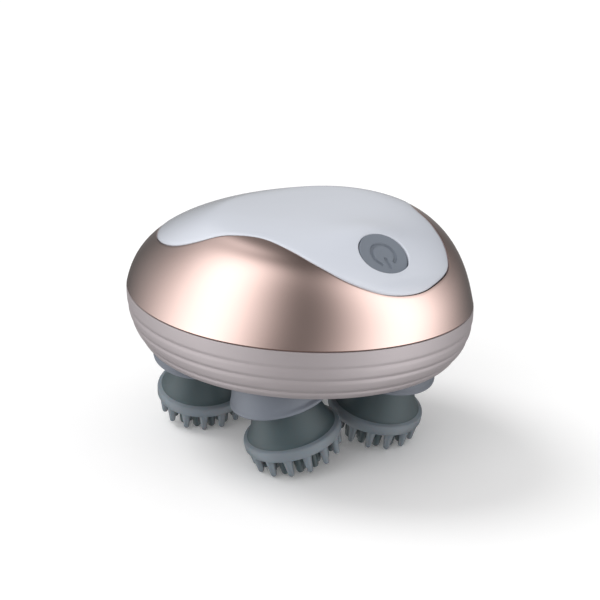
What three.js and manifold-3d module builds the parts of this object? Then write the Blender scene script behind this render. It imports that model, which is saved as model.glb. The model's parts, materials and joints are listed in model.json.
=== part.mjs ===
// Electric scalp massager: a hand-held dome on four tilted, turning massage heads.
// Millimetres. +X points to the power button end, +Z up, and the origin is on the floor
// under the middle of the body.
import * as THREE from 'three';
import { mergeVertices } from 'three/addons/utils/BufferGeometryUtils.js';
import Module from 'manifold-3d';

const wasm = await Module();
wasm.setup();

// Body
const HALF_LENGTH = 57.5;
const HALF_WIDTH = 45.9;
const EGG = 0.068; // how much wider the button end of the plan is
const SEAM_Z = 44; // the widest level, where the two shells meet
const DOME_RISE = 27;
const CREST_X = -13;
const BASE_HEIGHT = 15.7; // from the seam to the underside
const BASE_HALF_LENGTH = 50.5;
const BASE_HALF_WIDTH = 40.9;
const BASE_CURVE = 2.67; // power of the base's side curve
const BASE_EDGE = 1.2; // height of the base's lowest band
const FRONT_CURVE = { rise: 2.494, round: 3.55 };
const BACK_CURVE = { rise: 2, round: 1.03 };
const SIDE_CURVE = { rise: 0.9, round: 6.27 };
const SHELL_WALL = 2.2;
const FLOOR_THICKNESS = 2.4;
const GROOVE_DEPTH = 0.6;
const GROOVE_WIDTH = 0.7;
const GROOVE_DROPS = [5, 8.7, 12.9]; // below the seam
const GASKET_HEIGHT = 0.9;
const GASKET_INSET = 0.35;
const TONGUE_DEPTH = 2.6;
const TONGUE_WALL = 1.3;
const TONGUE_BITE = 1.4; // into the upper shell's wall
const GAP = 0.3; // between pieces that touch or clip together

// White top cover
const COVER_WALL = 3.8;
const COVER_LIP = 2.4;
const COVER_LIP_WALL = 1.1;
const COVER_LIP_GAP = 0.6; // under the upper shell
const COVER_NOSE_X = 54.5;
const COVER_TAIL_X = -44;
const COVER_SIDE = [ // from the nose to the tail, on the right side; the left side mirrors it
  [52.9, 8.4], [47.8, 15.6], [40, 20.4], [31, 23.4], [22.5, 25.9], [15, 30.2],
  [7, 34.9], [-3, 36.6], [-15, 35], [-27, 30.2], [-38.5, 19.5],
];

// Power button, pressed along the cover's slope
const BUTTON_X = 43.3;
const BUTTON_RADIUS = 7.2;
const BUTTON_THICKNESS = 2.2;
const BUTTON_SINK = 0.2; // its rim below the cover
const BUTTON_FLANGE = 1.1; // the ring that keeps it in
const BUTTON_FLANGE_THICKNESS = 0.9;
const BUTTON_TRAVEL = 0.8;
const BUTTON_STEM_RADIUS = 1.6;
const BUTTON_STEM_REACH = 0.6; // below the flange
const BUTTON_WALL = 1.6;
const BUTTON_COLLAR_WALL = 1.8;
const BUTTON_COLLAR_REACH = 1.6; // below the cover's wall
const SYMBOL_RADIUS = 3.1;
const SYMBOL_LINE = 0.6;
const SYMBOL_DEPTH = 0.4;
const SWITCH_SIZE = 6;
const SWITCH_HEIGHT = 3.4;
const SWITCH_PLUNGER_RADIUS = 1.7;
const SWITCH_PLUNGER_HEIGHT = 1.4;
const SWITCH_BOARD_LENGTH = 26;
const SWITCH_BOARD_WIDTH = 15;
const BOARD_THICKNESS = 1.2;
const SWITCH_POST_RADIUS = 1.6;
const SWITCH_POST_INSET = 2; // from the board's end

// Massage heads
const HEAD_X = 21.1;
const HEAD_Y = 17.6;
const TILT = 15; // degrees, of each head's own axis
const DISC_RADIUS = 13.9;
const DISC_LIP_RADIUS = 14.7;
const DISC_LIP_HEIGHT = 1.5;
const DISC_TOP_GAP = 0.5; // running gap under the base
const SHAFT_RADIUS = 3;
const SEAL_RADIUS = 5.1;
const HEAD_GAP = 0.4; // running gap between the disc and the head
const HEAD_DROP = 12.9; // from the neck to the lower edge of the rim, along the tilted axis
const NECK_RADIUS = 8.6;
const BELL_RADIUS = 12.4;
const BELL_CURVE = 1.4;
const RIM_RADIUS = 13.9;
const RIM_HEIGHT = 3;
const RIM_SLOPE = 0.4; // rise of the rim's top face from its edge to the bell
const CUP_DEPTH = 2.2;
const RIM_CHAMFER = 0.4;
const RIM_FOOT = 1.4; // width of the rim's flat lower edge
const RIM_FLARE = 0.6; // of the cup's inner wall
const HUB_RADIUS = 5;
const HUB_DROP = 1; // below the cup's roof
const PIN_RADIUS = 1.5;
const PIN_BITE = 3.4; // length of the pin inside the disc
const PIN_HEAD_RADIUS = 3;
const PIN_HEAD_HEIGHT = 1.4;
const PRONG_ROOT_RADIUS = 1.45;
const PRONG_TIP_RADIUS = 0.85;
const PRONG_LENGTH = 5.6; // below the rim
const PRONG_BITE = 0.6; // into the cup's roof
const PRONG_RINGS = [{ radius: 12, count: 14 }, { radius: 8.1, count: 8 }];
const HEADS = [
  { name: 'front_right', x: 1, y: -1, lean: -95 },
  { name: 'front_left', x: 1, y: 1, lean: 12 },
  { name: 'rear_right', x: -1, y: -1, lean: -32 },
  { name: 'rear_left', x: -1, y: 1, lean: 120 },
];

// Gear train
const SUN_TEETH = 40;
const OUTPUT_TEETH = 28;
const IDLER_SMALL_TEETH = 12;
const IDLER_LARGE_TEETH = 30;
const PINION_TEETH = 10;
const TOOTH_ADDENDUM = 0.62; // modules
const TOOTH_DEDENDUM = 1.15;
const TOOTH_TIP = 0.24; // half width, modules
const TOOTH_ROOT = 0.66;
const GEAR_FLOOR_GAP = 1.1;
const GEAR_WIDTH = 4.4;
const SECOND_GEAR_GAP = 0.8;
const SECOND_GEAR_WIDTH = 3;
const AXLE_RADIUS = 1.5;
const AXLE_BITE = 0.9; // into the floor
const AXLE_SEAT = 1.4; // into the deck
const RUNNING_GAP = 0.3;

// Gear deck, motor and battery
const DECK_GAP = 0.8;
const DECK_THICKNESS = 2;
const DECK_SEAT_WALL = 1.8;
const POST_RADIUS = 3.3;
const END_POST_INSET = 14.3; // of the deck screws' posts, from the body's ends
const SIDE_POST_INSET = 11.5; // of the case screws' posts, from the body's sides
const SCREW_RADIUS = 1.1;
const SCREW_HEAD_RADIUS = 2.3;
const SCREW_HEAD_HEIGHT = 1.3;
const SCREW_LENGTH = 8;
const CASE_SCREW_LENGTH = 12.5;
const CASE_BOSS_HEIGHT = 7.8;
const CASE_RIB = 2.4;
const CASE_HEAD_DROP = 4.4; // of the case screws' seats, below the deck
const SLOT_WIDTH = 0.6;
const SLOT_DEPTH = 0.5;
const CLIP_HEIGHT = 0.6;
const CLIP_REACH = 1.7;
const CLIP_GROOVE = 0.55;
const CLIP_GAP = 0.25;
const CLIP_GROOVE_HEIGHT = 1.2;
const CLIP_LIFT = 0.2; // of the groove's lower side, over the gap above the deck
const SHAFT_END = 2.4; // above the deck
const MOTOR_RADIUS = 12.2;
const MOTOR_HEIGHT = 17;
const MOTOR_SHAFT_RADIUS = 1;
const MOTOR_COLLAR_RADIUS = 3;
const MOTOR_CAP_HEIGHT = 0.7;
const MOTOR_SEAT_HEIGHT = 3;
const CLAMP_WALL = 1.6;
const CLAMP_HEIGHT = 9;
const BATTERY_RADIUS = 7;
const BATTERY_LENGTH = 50;
const BATTERY_NUB_RADIUS = 2.5;
const BATTERY_NUB_HEIGHT = 1;
const BATTERY_CLEARANCE = 1.4; // from the motor clamp
const BOARD_LENGTH = 36;
const BOARD_WIDTH = 28;
const BOARD_POST_INSET = 4;
const CRADLE_SPREAD = 10; // of each rib from the middle
const CRADLE_RIB = 2.4;
const BOARD_ABOVE_MOTOR = 1.1;
const BOARD_POST_RADIUS = 1.8;

// Charging contacts at the rear
const CONTACT_PAD_WIDTH = 16;
const CONTACT_PAD_HEIGHT = 6;
const CONTACT_PAD_DROP = 7.6; // its middle, below the seam
const CONTACT_PAD_RECESS = 1; // its flat face, inside the body's full length
const CONTACT_PAD_DEPTH = 5;
const CONTACT_PIN_RADIUS = 1.3;
const CONTACT_PIN_SPACING = 8;
const CONTACT_PIN_LENGTH = 7;
const CONTACT_PIN_PROUD = 0.3;

// Fineness
const PLAN_STEPS = 32;
const COVER_STEPS = 36;
const DOME_STEPS = 6;
const ROUND_STEPS = 18;
const SMALL_STEPS = 10;
const PRONG_STEPS = 5;
const BELL_STEPS = 3;

const baseBottom = SEAM_Z - BASE_HEIGHT;
const floorTop = baseBottom + FLOOR_THICKNESS;
const gearBottom = floorTop + GEAR_FLOOR_GAP;
const gearTop = gearBottom + GEAR_WIDTH;
const secondBottom = gearTop + SECOND_GEAR_GAP;
const secondTop = secondBottom + SECOND_GEAR_WIDTH;
const deckBottom = secondTop + DECK_GAP;
const deckTop = deckBottom + DECK_THICKNESS;
const endPostX = HALF_LENGTH - END_POST_INSET;
const sidePostY = HALF_WIDTH - SIDE_POST_INSET;

// the heads' distance from the middle sets the size of all the teeth
const headDistance = Math.hypot(HEAD_X, HEAD_Y);
const gearModule = (2 * headDistance) / (SUN_TEETH + OUTPUT_TEETH);
const pitchRadius = (teeth) => (gearModule * teeth) / 2;
const idlerX = -(pitchRadius(SUN_TEETH) + pitchRadius(IDLER_SMALL_TEETH));
const motorX = idlerX + pitchRadius(IDLER_LARGE_TEETH) + pitchRadius(PINION_TEETH);

const group = new THREE.Group();
group.name = 'scalp_massager';

const materials = {
  roseGold: { color: '#d2a898', roughness: 0.28, metalness: 0.9 },
  glossWhite: { color: '#d3dae2', roughness: 0.12, metalness: 0 },
  silver: { color: '#b0a8a6', roughness: 0.35, metalness: 0.8 },
  gasket: { color: '#5a4138', roughness: 0.6, metalness: 0 },
  button: { color: '#868b95', roughness: 0.55, metalness: 0 },
  disc: { color: '#858c94', roughness: 0.5, metalness: 0 },
  silicone: { color: '#4d5a5e', roughness: 0.6, metalness: 0 },
  gear: { color: '#e9e4d6', roughness: 0.5, metalness: 0 },
  plastic: { color: '#2c2f33', roughness: 0.6, metalness: 0 },
  steel: { color: '#c4c8cc', roughness: 0.3, metalness: 1 },
  gold: { color: '#d9b45a', roughness: 0.25, metalness: 1 },
  board: { color: '#1f6b45', roughness: 0.5, metalness: 0 },
  cell: { color: '#3b6ea8', roughness: 0.4, metalness: 0 },
  rubber: { color: '#33383b', roughness: 0.8, metalness: 0 },
};

// Solids from three.js geometry, welded so that they can be cut and joined
function toSolid(geometry) {
  const bare = new THREE.BufferGeometry();
  bare.setAttribute('position', geometry.attributes.position);
  bare.setIndex(geometry.index);
  const welded = mergeVertices(bare, 1e-4);
  const place = welded.attributes.position;
  const corners = welded.index.array;
  const kept = [];
  let volume = 0;
  const a = new THREE.Vector3();
  const b = new THREE.Vector3();
  const c = new THREE.Vector3();
  for (let i = 0; i < corners.length; i += 3) {
    const [p, q, r] = [corners[i], corners[i + 1], corners[i + 2]];
    if (p === q || q === r || r === p) continue;
    kept.push(p, q, r);
    a.fromBufferAttribute(place, p);
    b.fromBufferAttribute(place, q);
    c.fromBufferAttribute(place, r);
    volume += a.dot(b.cross(c));
  }
  if (volume < 0) kept.reverse();
  const mesh = new wasm.Mesh({
    numProp: 3,
    vertProperties: new Float32Array(place.array),
    triVerts: new Uint32Array(kept),
  });
  return new wasm.Manifold(mesh);
}

function toGeometry(solid) {
  const mesh = solid.getMesh();
  const geometry = new THREE.BufferGeometry();
  geometry.setAttribute('position', new THREE.BufferAttribute(mesh.vertProperties, 3));
  geometry.setIndex(new THREE.BufferAttribute(mesh.triVerts, 1));
  geometry.computeVertexNormals();
  return geometry;
}

const joined = (solids) => solids.reduce((sum, solid) => sum.add(solid));
const without = (solid, cuts) => cuts.reduce((left, cut) => left.subtract(cut), solid);

function addMesh(name, solid, material, parent = group) {
  const look = new THREE.MeshStandardMaterial(materials[material]);
  const mesh = new THREE.Mesh(toGeometry(solid), look);
  mesh.name = name;
  parent.add(mesh);
  return mesh;
}

// Round pieces about Z, from a profile of [radius, height] pairs
function turned(profile, steps = ROUND_STEPS) {
  const points = profile.map(([radius, height]) => new THREE.Vector2(radius, height));
  const closes = profile[0][0] > 0;
  if (closes) points.push(points[0].clone());
  return toSolid(new THREE.LatheGeometry(points, steps).rotateX(Math.PI / 2));
}

function rod(radius, bottom, top, steps = SMALL_STEPS) {
  return turned([[0, bottom], [radius, bottom], [radius, top], [0, top]], steps);
}

function ring(inner, outer, bottom, top, steps = ROUND_STEPS) {
  return turned([[inner, bottom], [outer, bottom], [outer, top], [inner, top]], steps);
}

function block(length, width, bottom, top) {
  const box = new THREE.BoxGeometry(length, width, top - bottom);
  return toSolid(box.translate(0, 0, (bottom + top) / 2));
}

function prism(outline, bottom, top) {
  const shape = new THREE.Shape(outline.map(([x, y]) => new THREE.Vector2(x, y)));
  const solid = new THREE.ExtrudeGeometry(shape, { depth: top - bottom, bevelEnabled: false });
  return toSolid(solid.translate(0, 0, bottom));
}

// A closed skin over level outlines that all have the same number of points
function lofted(levels) {
  const count = levels[0].length;
  const points = levels.flat();
  const faces = [];
  for (let level = 0; level < levels.length - 1; level += 1) {
    for (let i = 0; i < count; i += 1) {
      const next = (i + 1) % count;
      const low = level * count;
      const high = low + count;
      faces.push(low + i, low + next, high + next, low + i, high + next, high + i);
    }
  }
  const capped = [[0, true], [levels.length - 1, false]];
  for (const [level, faceDown] of capped) {
    const middle = levels[level].reduce((sum, p) => sum.add(p), new THREE.Vector3());
    const centre = points.push(middle.divideScalar(count)) - 1;
    const start = level * count;
    for (let i = 0; i < count; i += 1) {
      const next = (i + 1) % count;
      if (faceDown) faces.push(centre, start + next, start + i);
      else faces.push(centre, start + i, start + next);
    }
  }
  const geometry = new THREE.BufferGeometry().setFromPoints(points);
  geometry.setIndex(faces);
  return toSolid(geometry);
}

// An egg-shaped level outline
function planOutline(middleX, halfLength, halfWidth, height) {
  const outline = [];
  for (let i = 0; i < PLAN_STEPS; i += 1) {
    const angle = (i / PLAN_STEPS) * 2 * Math.PI;
    const x = middleX + halfLength * Math.cos(angle);
    const y = halfWidth * Math.sin(angle) * (1 + EGG * Math.cos(angle));
    outline.push(new THREE.Vector3(x, y, height));
  }
  return outline;
}

const curved = (share, { rise, round }) => Math.max(0, 1 - share ** rise) ** (1 / round);

function domeReach(share, inset) {
  const length = HALF_LENGTH - inset;
  return {
    front: CREST_X + (length - CREST_X) * curved(share, FRONT_CURVE),
    back: CREST_X - (length + CREST_X) * curved(share, BACK_CURVE),
    side: (HALF_WIDTH - inset) * curved(share, SIDE_CURVE),
  };
}

function domeLevel(share, inset) {
  const { front, back, side } = domeReach(share, inset);
  const height = SEAM_Z + (DOME_RISE - inset) * share;
  return planOutline((front + back) / 2, (front - back) / 2, side, height);
}

// The dome's solid, its skin moved in by an inset, from a level below or at the seam
function domeSolid(inset, bottom = SEAM_Z) {
  const levels = [];
  if (bottom < SEAM_Z) levels.push(domeLevel(0, inset).map((p) => p.clone().setZ(bottom)));
  for (let i = 0; i < DOME_STEPS; i += 1) {
    levels.push(domeLevel(1 - (1 - i / DOME_STEPS) ** 3, inset));
  }
  return lofted(levels);
}

// The base's outline, at a drop below the seam
function baseLevel(drop, inset) {
  const share = drop / BASE_HEIGHT;
  const narrow = Math.min(Math.max(share, 0), 1) ** BASE_CURVE;
  const halfLength = HALF_LENGTH - (HALF_LENGTH - BASE_HALF_LENGTH) * narrow - inset;
  const halfWidth = HALF_WIDTH - (HALF_WIDTH - BASE_HALF_WIDTH) * narrow - inset;
  return planOutline(0, halfLength, halfWidth, SEAM_Z - drop);
}

function baseSolid(inset, top, bottom, grooved) {
  const drops = [[SEAM_Z - bottom, 0], [SEAM_Z - bottom - BASE_EDGE, 0]];
  if (grooved) {
    for (const drop of [...GROOVE_DROPS].reverse()) {
      drops.push([drop + GROOVE_WIDTH, 0], [drop, GROOVE_DEPTH], [drop - GROOVE_WIDTH, 0]);
    }
  } else {
    drops.push([(SEAM_Z - bottom) * 0.6, 0], [(SEAM_Z - bottom) * 0.3, 0]);
  }
  drops.push([SEAM_Z - top, 0]);
  return lofted(drops.map(([drop, cut]) => baseLevel(drop, inset + cut)));
}

function coverOutline(grow) {
  const right = COVER_SIDE.map(([x, y]) => new THREE.Vector3(x, -y, 0));
  const left = COVER_SIDE.map(([x, y]) => new THREE.Vector3(x, y, 0)).reverse();
  const nose = new THREE.Vector3(COVER_NOSE_X, 0, 0);
  const tail = new THREE.Vector3(COVER_TAIL_X, 0, 0);
  const corners = [nose, ...right, tail, ...left];
  const edge = new THREE.CatmullRomCurve3(corners, true, 'centripetal');
  const outline = [];
  for (let i = 0; i < COVER_STEPS; i += 1) {
    const point = edge.getPointAt(i / COVER_STEPS);
    const along = edge.getTangentAt(i / COVER_STEPS);
    // the edge runs clockwise seen from above, so its outside is on the left of its way
    outline.push([point.x - along.y * grow, point.y + along.x * grow]);
  }
  return outline;
}

// Where the dome's front slope is over the middle line, and which way it faces
function slopeAt(x, inset) {
  const length = HALF_LENGTH - inset;
  const reach = (x - CREST_X) / (length - CREST_X);
  const share = (1 - reach ** FRONT_CURVE.round) ** (1 / FRONT_CURVE.rise);
  return SEAM_Z + (DOME_RISE - inset) * share;
}

const buttonZ = slopeAt(BUTTON_X, 0);
const slopeStep = 0.5;
const slope = (slopeAt(BUTTON_X + slopeStep, 0) - slopeAt(BUTTON_X - slopeStep, 0)) / (2 * slopeStep);
const buttonLean = Math.atan(-slope); // from straight up toward +X

const buttonFrame = new THREE.Group();
buttonFrame.position.set(BUTTON_X, 0, buttonZ);
buttonFrame.rotation.y = buttonLean;
group.add(buttonFrame);
buttonFrame.updateMatrix();
const matrixOf = (frame) => frame.matrix.elements;
const inButtonFrame = (solid) => solid.transform(matrixOf(buttonFrame));
const fromButtonFrame = (solid) => solid.transform(buttonFrame.matrix.clone().invert().elements);

// Heights in the button's own frame, zero on the cover's skin
const buttonTop = -BUTTON_SINK;
const buttonBottom = buttonTop - BUTTON_THICKNESS;
const coverUnder = -COVER_WALL - BUTTON_COLLAR_REACH; // below the cover's wall all round the hole
const flangeTop = coverUnder - GAP;
const flangeBottom = flangeTop - BUTTON_FLANGE_THICKNESS;
const plungerTop = flangeBottom - BUTTON_TRAVEL - GAP - BUTTON_STEM_REACH;
const switchTop = plungerTop - SWITCH_PLUNGER_HEIGHT;
const switchBoardTop = switchTop - SWITCH_HEIGHT;
const switchBoardBottom = switchBoardTop - BOARD_THICKNESS;
const buttonHole = BUTTON_RADIUS + GAP;
const collarRadius = buttonHole + BUTTON_COLLAR_WALL;

function upperShell() {
  const wall = domeSolid(0).subtract(domeSolid(SHELL_WALL, SEAM_Z - 1));
  const lowCut = block(3 * HALF_LENGTH, 3 * HALF_WIDTH, SEAM_Z - 5, SEAM_Z + GASKET_HEIGHT / 2);
  const opening = prism(coverOutline(GAP), SEAM_Z + 2, SEAM_Z + 2 * DOME_RISE);
  const tongueOutside = baseLevel(0, SHELL_WALL + GAP);
  const tongueInside = baseLevel(0, SHELL_WALL + GAP + TONGUE_WALL);
  const tongueTop = SEAM_Z + GASKET_HEIGHT / 2 + TONGUE_BITE;
  const levelsOf = (outline) => [
    outline.map((p) => p.clone().setZ(SEAM_Z - TONGUE_DEPTH)),
    outline.map((p) => p.clone().setZ(tongueTop)),
  ];
  const tongue = lofted(levelsOf(tongueOutside)).subtract(lofted(levelsOf(tongueInside)));
  const shell = without(wall, [lowCut]).add(tongue.intersect(domeUnder()));
  const bosses = [-1, 1].map((side) => caseBoss(side));
  return without(joined([shell, ...bosses]), [opening, ...caseBores()]);
}

// The room under the dome's skin down to the tongue's lower end
function domeUnder() {
  return domeSolid(SHELL_WALL * 0.5, SEAM_Z - TONGUE_DEPTH - 1);
}

function caseBoss(side) {
  const bottom = deckTop + GAP;
  const top = bottom + CASE_BOSS_HEIGHT;
  const reach = HALF_WIDTH - sidePostY;
  const post = rod(POST_RADIUS, bottom, top).translate([0, side * sidePostY, 0]);
  const rib = block(CASE_RIB, reach, bottom + TONGUE_DEPTH, top);
  const ribbed = post.add(rib.translate([0, side * (sidePostY + reach / 2), 0]));
  return ribbed.intersect(domeUnder());
}

function caseBores() {
  const bore = rod(SCREW_RADIUS + GAP, baseBottom, deckTop + GAP + CASE_SCREW_LENGTH / 2);
  return [-1, 1].map((side) => bore.translate([0, side * sidePostY, 0]));
}

function topCover() {
  const edge = prism(coverOutline(0), SEAM_Z + 2, SEAM_Z + 2 * DOME_RISE);
  const lipEdge = prism(coverOutline(COVER_LIP), SEAM_Z + 2, SEAM_Z + 2 * DOME_RISE);
  const face = domeSolid(0).subtract(domeSolid(COVER_WALL)).intersect(edge);
  const lipOutside = domeSolid(SHELL_WALL + COVER_LIP_GAP);
  const lipInside = domeSolid(SHELL_WALL + COVER_LIP_GAP + COVER_LIP_WALL);
  const lip = lipOutside.subtract(lipInside).intersect(lipEdge);
  const collar = inButtonFrame(rod(collarRadius, coverUnder, 0, ROUND_STEPS)).intersect(domeSolid(1));
  const postX = SWITCH_BOARD_LENGTH / 2 - SWITCH_POST_INSET;
  const posts = [-1, 1].map((end) => {
    const post = rod(SWITCH_POST_RADIUS, switchBoardTop + GAP, 0).translate([0, end * postX, 0]);
    return inButtonFrame(post).intersect(domeSolid(1));
  });
  const hole = inButtonFrame(rod(buttonHole, coverUnder - 1, COVER_WALL, ROUND_STEPS));
  const flangeRoom = rod(BUTTON_RADIUS + BUTTON_FLANGE + GAP, switchBoardBottom, coverUnder, ROUND_STEPS);
  return without(joined([face, lip, collar, ...posts]), [hole, inButtonFrame(flangeRoom)]);
}

function addUpperBody() {
  addMesh('upper_shell', upperShell(), 'roseGold');
  addMesh('top_cover', topCover(), 'glossWhite');
  const half = GASKET_HEIGHT / 2 - GAP / 2;
  const band = (inset) => [
    baseLevel(0, inset).map((p) => p.clone().setZ(SEAM_Z - half)),
    baseLevel(0, inset).map((p) => p.clone().setZ(SEAM_Z + half)),
  ];
  const gasket = lofted(band(GASKET_INSET)).subtract(lofted(band(SHELL_WALL)));
  addMesh('seam_gasket', gasket, 'gasket');
}

function powerSymbol() {
  const low = buttonTop - SYMBOL_DEPTH;
  const circle = ring(SYMBOL_RADIUS - SYMBOL_LINE, SYMBOL_RADIUS, low, buttonTop + 1);
  const notch = block(SYMBOL_RADIUS, 4 * SYMBOL_LINE, low - 1, buttonTop + 2);
  const bar = block(SYMBOL_RADIUS, SYMBOL_LINE, low, buttonTop + 1);
  const end = SYMBOL_RADIUS * 0.75;
  return circle.subtract(notch.translate([SYMBOL_RADIUS, 0, 0])).add(bar.translate([end, 0, 0]));
}

function addButton() {
  // its top follows the slope, so the cap is cut to the dome's skin less its sink
  const cap = rod(BUTTON_RADIUS, flangeBottom, 1.5, ROUND_STEPS);
  const skin = fromButtonFrame(domeSolid(BUTTON_SINK, SEAM_Z - 5));
  const flange = rod(BUTTON_RADIUS + BUTTON_FLANGE, flangeBottom, flangeTop, ROUND_STEPS);
  const hollow = rod(BUTTON_RADIUS - BUTTON_WALL, flangeBottom - 1, buttonBottom, ROUND_STEPS);
  const stem = rod(BUTTON_STEM_RADIUS, plungerTop + BUTTON_TRAVEL + GAP, buttonBottom + 0.5);
  const body = cap.intersect(skin).subtract(hollow);
  const button = without(joined([body, flange.subtract(hollow), stem]), [powerSymbol()]);
  addMesh('power_button', button, 'button', buttonFrame);

  const can = block(SWITCH_SIZE, SWITCH_SIZE, switchBoardTop, switchTop);
  const plunger = rod(SWITCH_PLUNGER_RADIUS, switchTop - 0.2, plungerTop);
  addMesh('button_switch', can.add(plunger).translate([0, 0, GAP / 2]), 'plastic', buttonFrame);
  const plate = block(SWITCH_BOARD_WIDTH, SWITCH_BOARD_LENGTH, switchBoardBottom, switchBoardTop);
  addMesh('switch_board', plate.translate([0, 0, -GAP / 2]), 'board', buttonFrame);
}

const padFace = HALF_LENGTH - CONTACT_PAD_RECESS;
const padZ = SEAM_Z - CONTACT_PAD_DROP;

// The pad's block, or with a gap to grow by, the window that it sits in
function contactPad(grow = 0) {
  const width = CONTACT_PAD_WIDTH + 2 * grow;
  const height = CONTACT_PAD_HEIGHT + 2 * grow;
  const outward = grow > 0 ? 2 * CONTACT_PAD_RECESS + 1 : 0;
  const pad = block(CONTACT_PAD_DEPTH + outward, width, padZ - height / 2, padZ + height / 2);
  return pad.translate([-padFace + (CONTACT_PAD_DEPTH - outward) / 2, 0, 0]);
}

function lowerShell() {
  const top = SEAM_Z - GASKET_HEIGHT / 2;
  const outside = baseSolid(0, top, baseBottom, true);
  const inside = baseSolid(SHELL_WALL, SEAM_Z + 1, floorTop, false);
  const deckPosts = [-1, 1].map((end) => rod(POST_RADIUS, floorTop - 1, deckBottom - GAP)
    .translate([end * endPostX, 0, 0]));
  const casePosts = [-1, 1].map((side) => rod(POST_RADIUS, floorTop - 1, deckBottom - GAP)
    .translate([0, side * sidePostY, 0]));
  const axlePosts = [0, idlerX].map((x) => rod(2 * AXLE_RADIUS, floorTop - 1, gearBottom - GAP)
    .translate([x, 0, 0]));
  const shaftBore = rod(SEAL_RADIUS + GAP, baseBottom - 1, floorTop + 1);
  const bores = HEADS.map((head) => shaftBore.translate([head.x * HEAD_X, head.y * HEAD_Y, 0]));
  const pilot = rod(SCREW_RADIUS + GAP, floorTop, deckBottom + 1);
  const pilots = [-1, 1].map((end) => pilot.translate([end * endPostX, 0, 0]));
  const sink = rod(SCREW_HEAD_RADIUS + GAP, baseBottom - 1, baseBottom + caseScrewSink);
  const sinks = [-1, 1].map((side) => sink.translate([0, side * sidePostY, 0]));
  const axleBore = rod(AXLE_RADIUS + GAP, floorTop - AXLE_BITE - GAP, gearBottom);
  const axleBores = [0, idlerX].map((x) => axleBore.translate([x, 0, 0]));
  const shell = outside.subtract(inside);
  const cuts = [...bores, ...pilots, ...sinks, ...axleBores, ...caseBores(), contactPad(GAP)];
  return without(joined([shell, ...deckPosts, ...casePosts, ...axlePosts]), cuts);
}

const caseScrewSink = deckBottom - baseBottom - CASE_HEAD_DROP;

function screw(length) {
  const slot = block(2 * SCREW_HEAD_RADIUS + 1, SLOT_WIDTH, -SLOT_DEPTH, 1);
  const head = rod(SCREW_HEAD_RADIUS, -SCREW_HEAD_HEIGHT, 0);
  return head.add(rod(SCREW_RADIUS, -SCREW_HEAD_HEIGHT - length, -0.5)).subtract(slot);
}

function addLowerBody() {
  addMesh('lower_shell', lowerShell(), 'silver');
  for (const [name, side] of [['case_screw_right', -1], ['case_screw_left', 1]]) {
    const piece = addMesh(name, screw(CASE_SCREW_LENGTH), 'steel');
    piece.rotation.x = Math.PI;
    piece.position.set(0, side * sidePostY, baseBottom + caseScrewSink - GAP - SCREW_HEAD_HEIGHT);
  }
  for (const [name, end] of [['deck_screw_front', 1], ['deck_screw_rear', -1]]) {
    const piece = addMesh(name, screw(SCREW_LENGTH), 'steel');
    piece.position.set(end * endPostX, 0, deckTop + GAP + SCREW_HEAD_HEIGHT);
  }
  const across = new THREE.Matrix4().makeRotationY(-Math.PI / 2).elements;
  const sides = [['charge_contact_right', -1], ['charge_contact_left', 1]];
  const pinAt = (side, radius) => rod(radius, -CONTACT_PIN_PROUD, CONTACT_PIN_LENGTH)
    .transform(across).scale([-1, 1, 1])
    .translate([-padFace, (side * CONTACT_PIN_SPACING) / 2, padZ]);
  const holes = sides.map(([, side]) => pinAt(side, CONTACT_PIN_RADIUS + GAP));
  addMesh('charge_contact_block', without(contactPad(), holes), 'plastic');
  for (const [name, side] of sides) addMesh(name, pinAt(side, CONTACT_PIN_RADIUS), 'gold');
}

// Straight-flanked gear, a tooth on its own +X axis
function gear(teeth, width, boreRadius) {
  const tip = pitchRadius(teeth) + TOOTH_ADDENDUM * gearModule;
  const root = pitchRadius(teeth) - TOOTH_DEDENDUM * gearModule;
  const outline = [];
  for (let tooth = 0; tooth < teeth; tooth += 1) {
    const middle = (tooth / teeth) * 2 * Math.PI;
    const flank = [
      [root, -TOOTH_ROOT], [tip, -TOOTH_TIP], [tip, TOOTH_TIP], [root, TOOTH_ROOT],
    ];
    for (const [radius, half] of flank) {
      const angle = middle + (half * gearModule) / radius;
      outline.push([radius * Math.cos(angle), radius * Math.sin(angle)]);
    }
  }
  return prism(outline, 0, width).subtract(rod(boreRadius, -1, width + 1));
}

// The turn that puts a follower's gap over the driver's tooth
function meshTurn(direction, driverTeeth, teeth, driverTurn = 0) {
  const half = Math.PI / teeth;
  return direction + Math.PI + (driverTeeth / teeth) * (direction - driverTurn) + half;
}

function addGears() {
  const bore = AXLE_RADIUS + RUNNING_GAP;
  const sun = addMesh('sun_gear', gear(SUN_TEETH, GEAR_WIDTH, bore), 'gear');
  sun.position.z = gearBottom;

  const idlerTurn = meshTurn(Math.PI, SUN_TEETH, IDLER_SMALL_TEETH);
  const small = gear(IDLER_SMALL_TEETH, secondBottom - gearBottom + 0.5, bore);
  const large = gear(IDLER_LARGE_TEETH, SECOND_GEAR_WIDTH, bore);
  const lifted = large.translate([0, 0, secondBottom - gearBottom]);
  const idler = addMesh('idler_gear', small.add(lifted), 'gear');
  idler.position.set(idlerX, 0, gearBottom);
  idler.rotation.z = idlerTurn;

  const pinionTurn = meshTurn(0, IDLER_LARGE_TEETH, PINION_TEETH, idlerTurn);
  const teeth = gear(PINION_TEETH, SECOND_GEAR_WIDTH, MOTOR_SHAFT_RADIUS / 2);
  const shaft = rod(MOTOR_SHAFT_RADIUS, 0, deckTop + 2 - secondBottom);
  const pinion = addMesh('motor_pinion', teeth.add(shaft), 'gear');
  pinion.position.set(motorX, 0, secondBottom);
  pinion.rotation.z = pinionTurn;

  for (const [name, x] of [['sun_axle', 0], ['idler_axle', idlerX]]) {
    const bottom = floorTop - AXLE_BITE;
    const top = x === 0 ? gearTop + GAP : deckBottom + AXLE_SEAT;
    addMesh(name, rod(AXLE_RADIUS, bottom, top), 'steel').position.x = x;
  }
}

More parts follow.
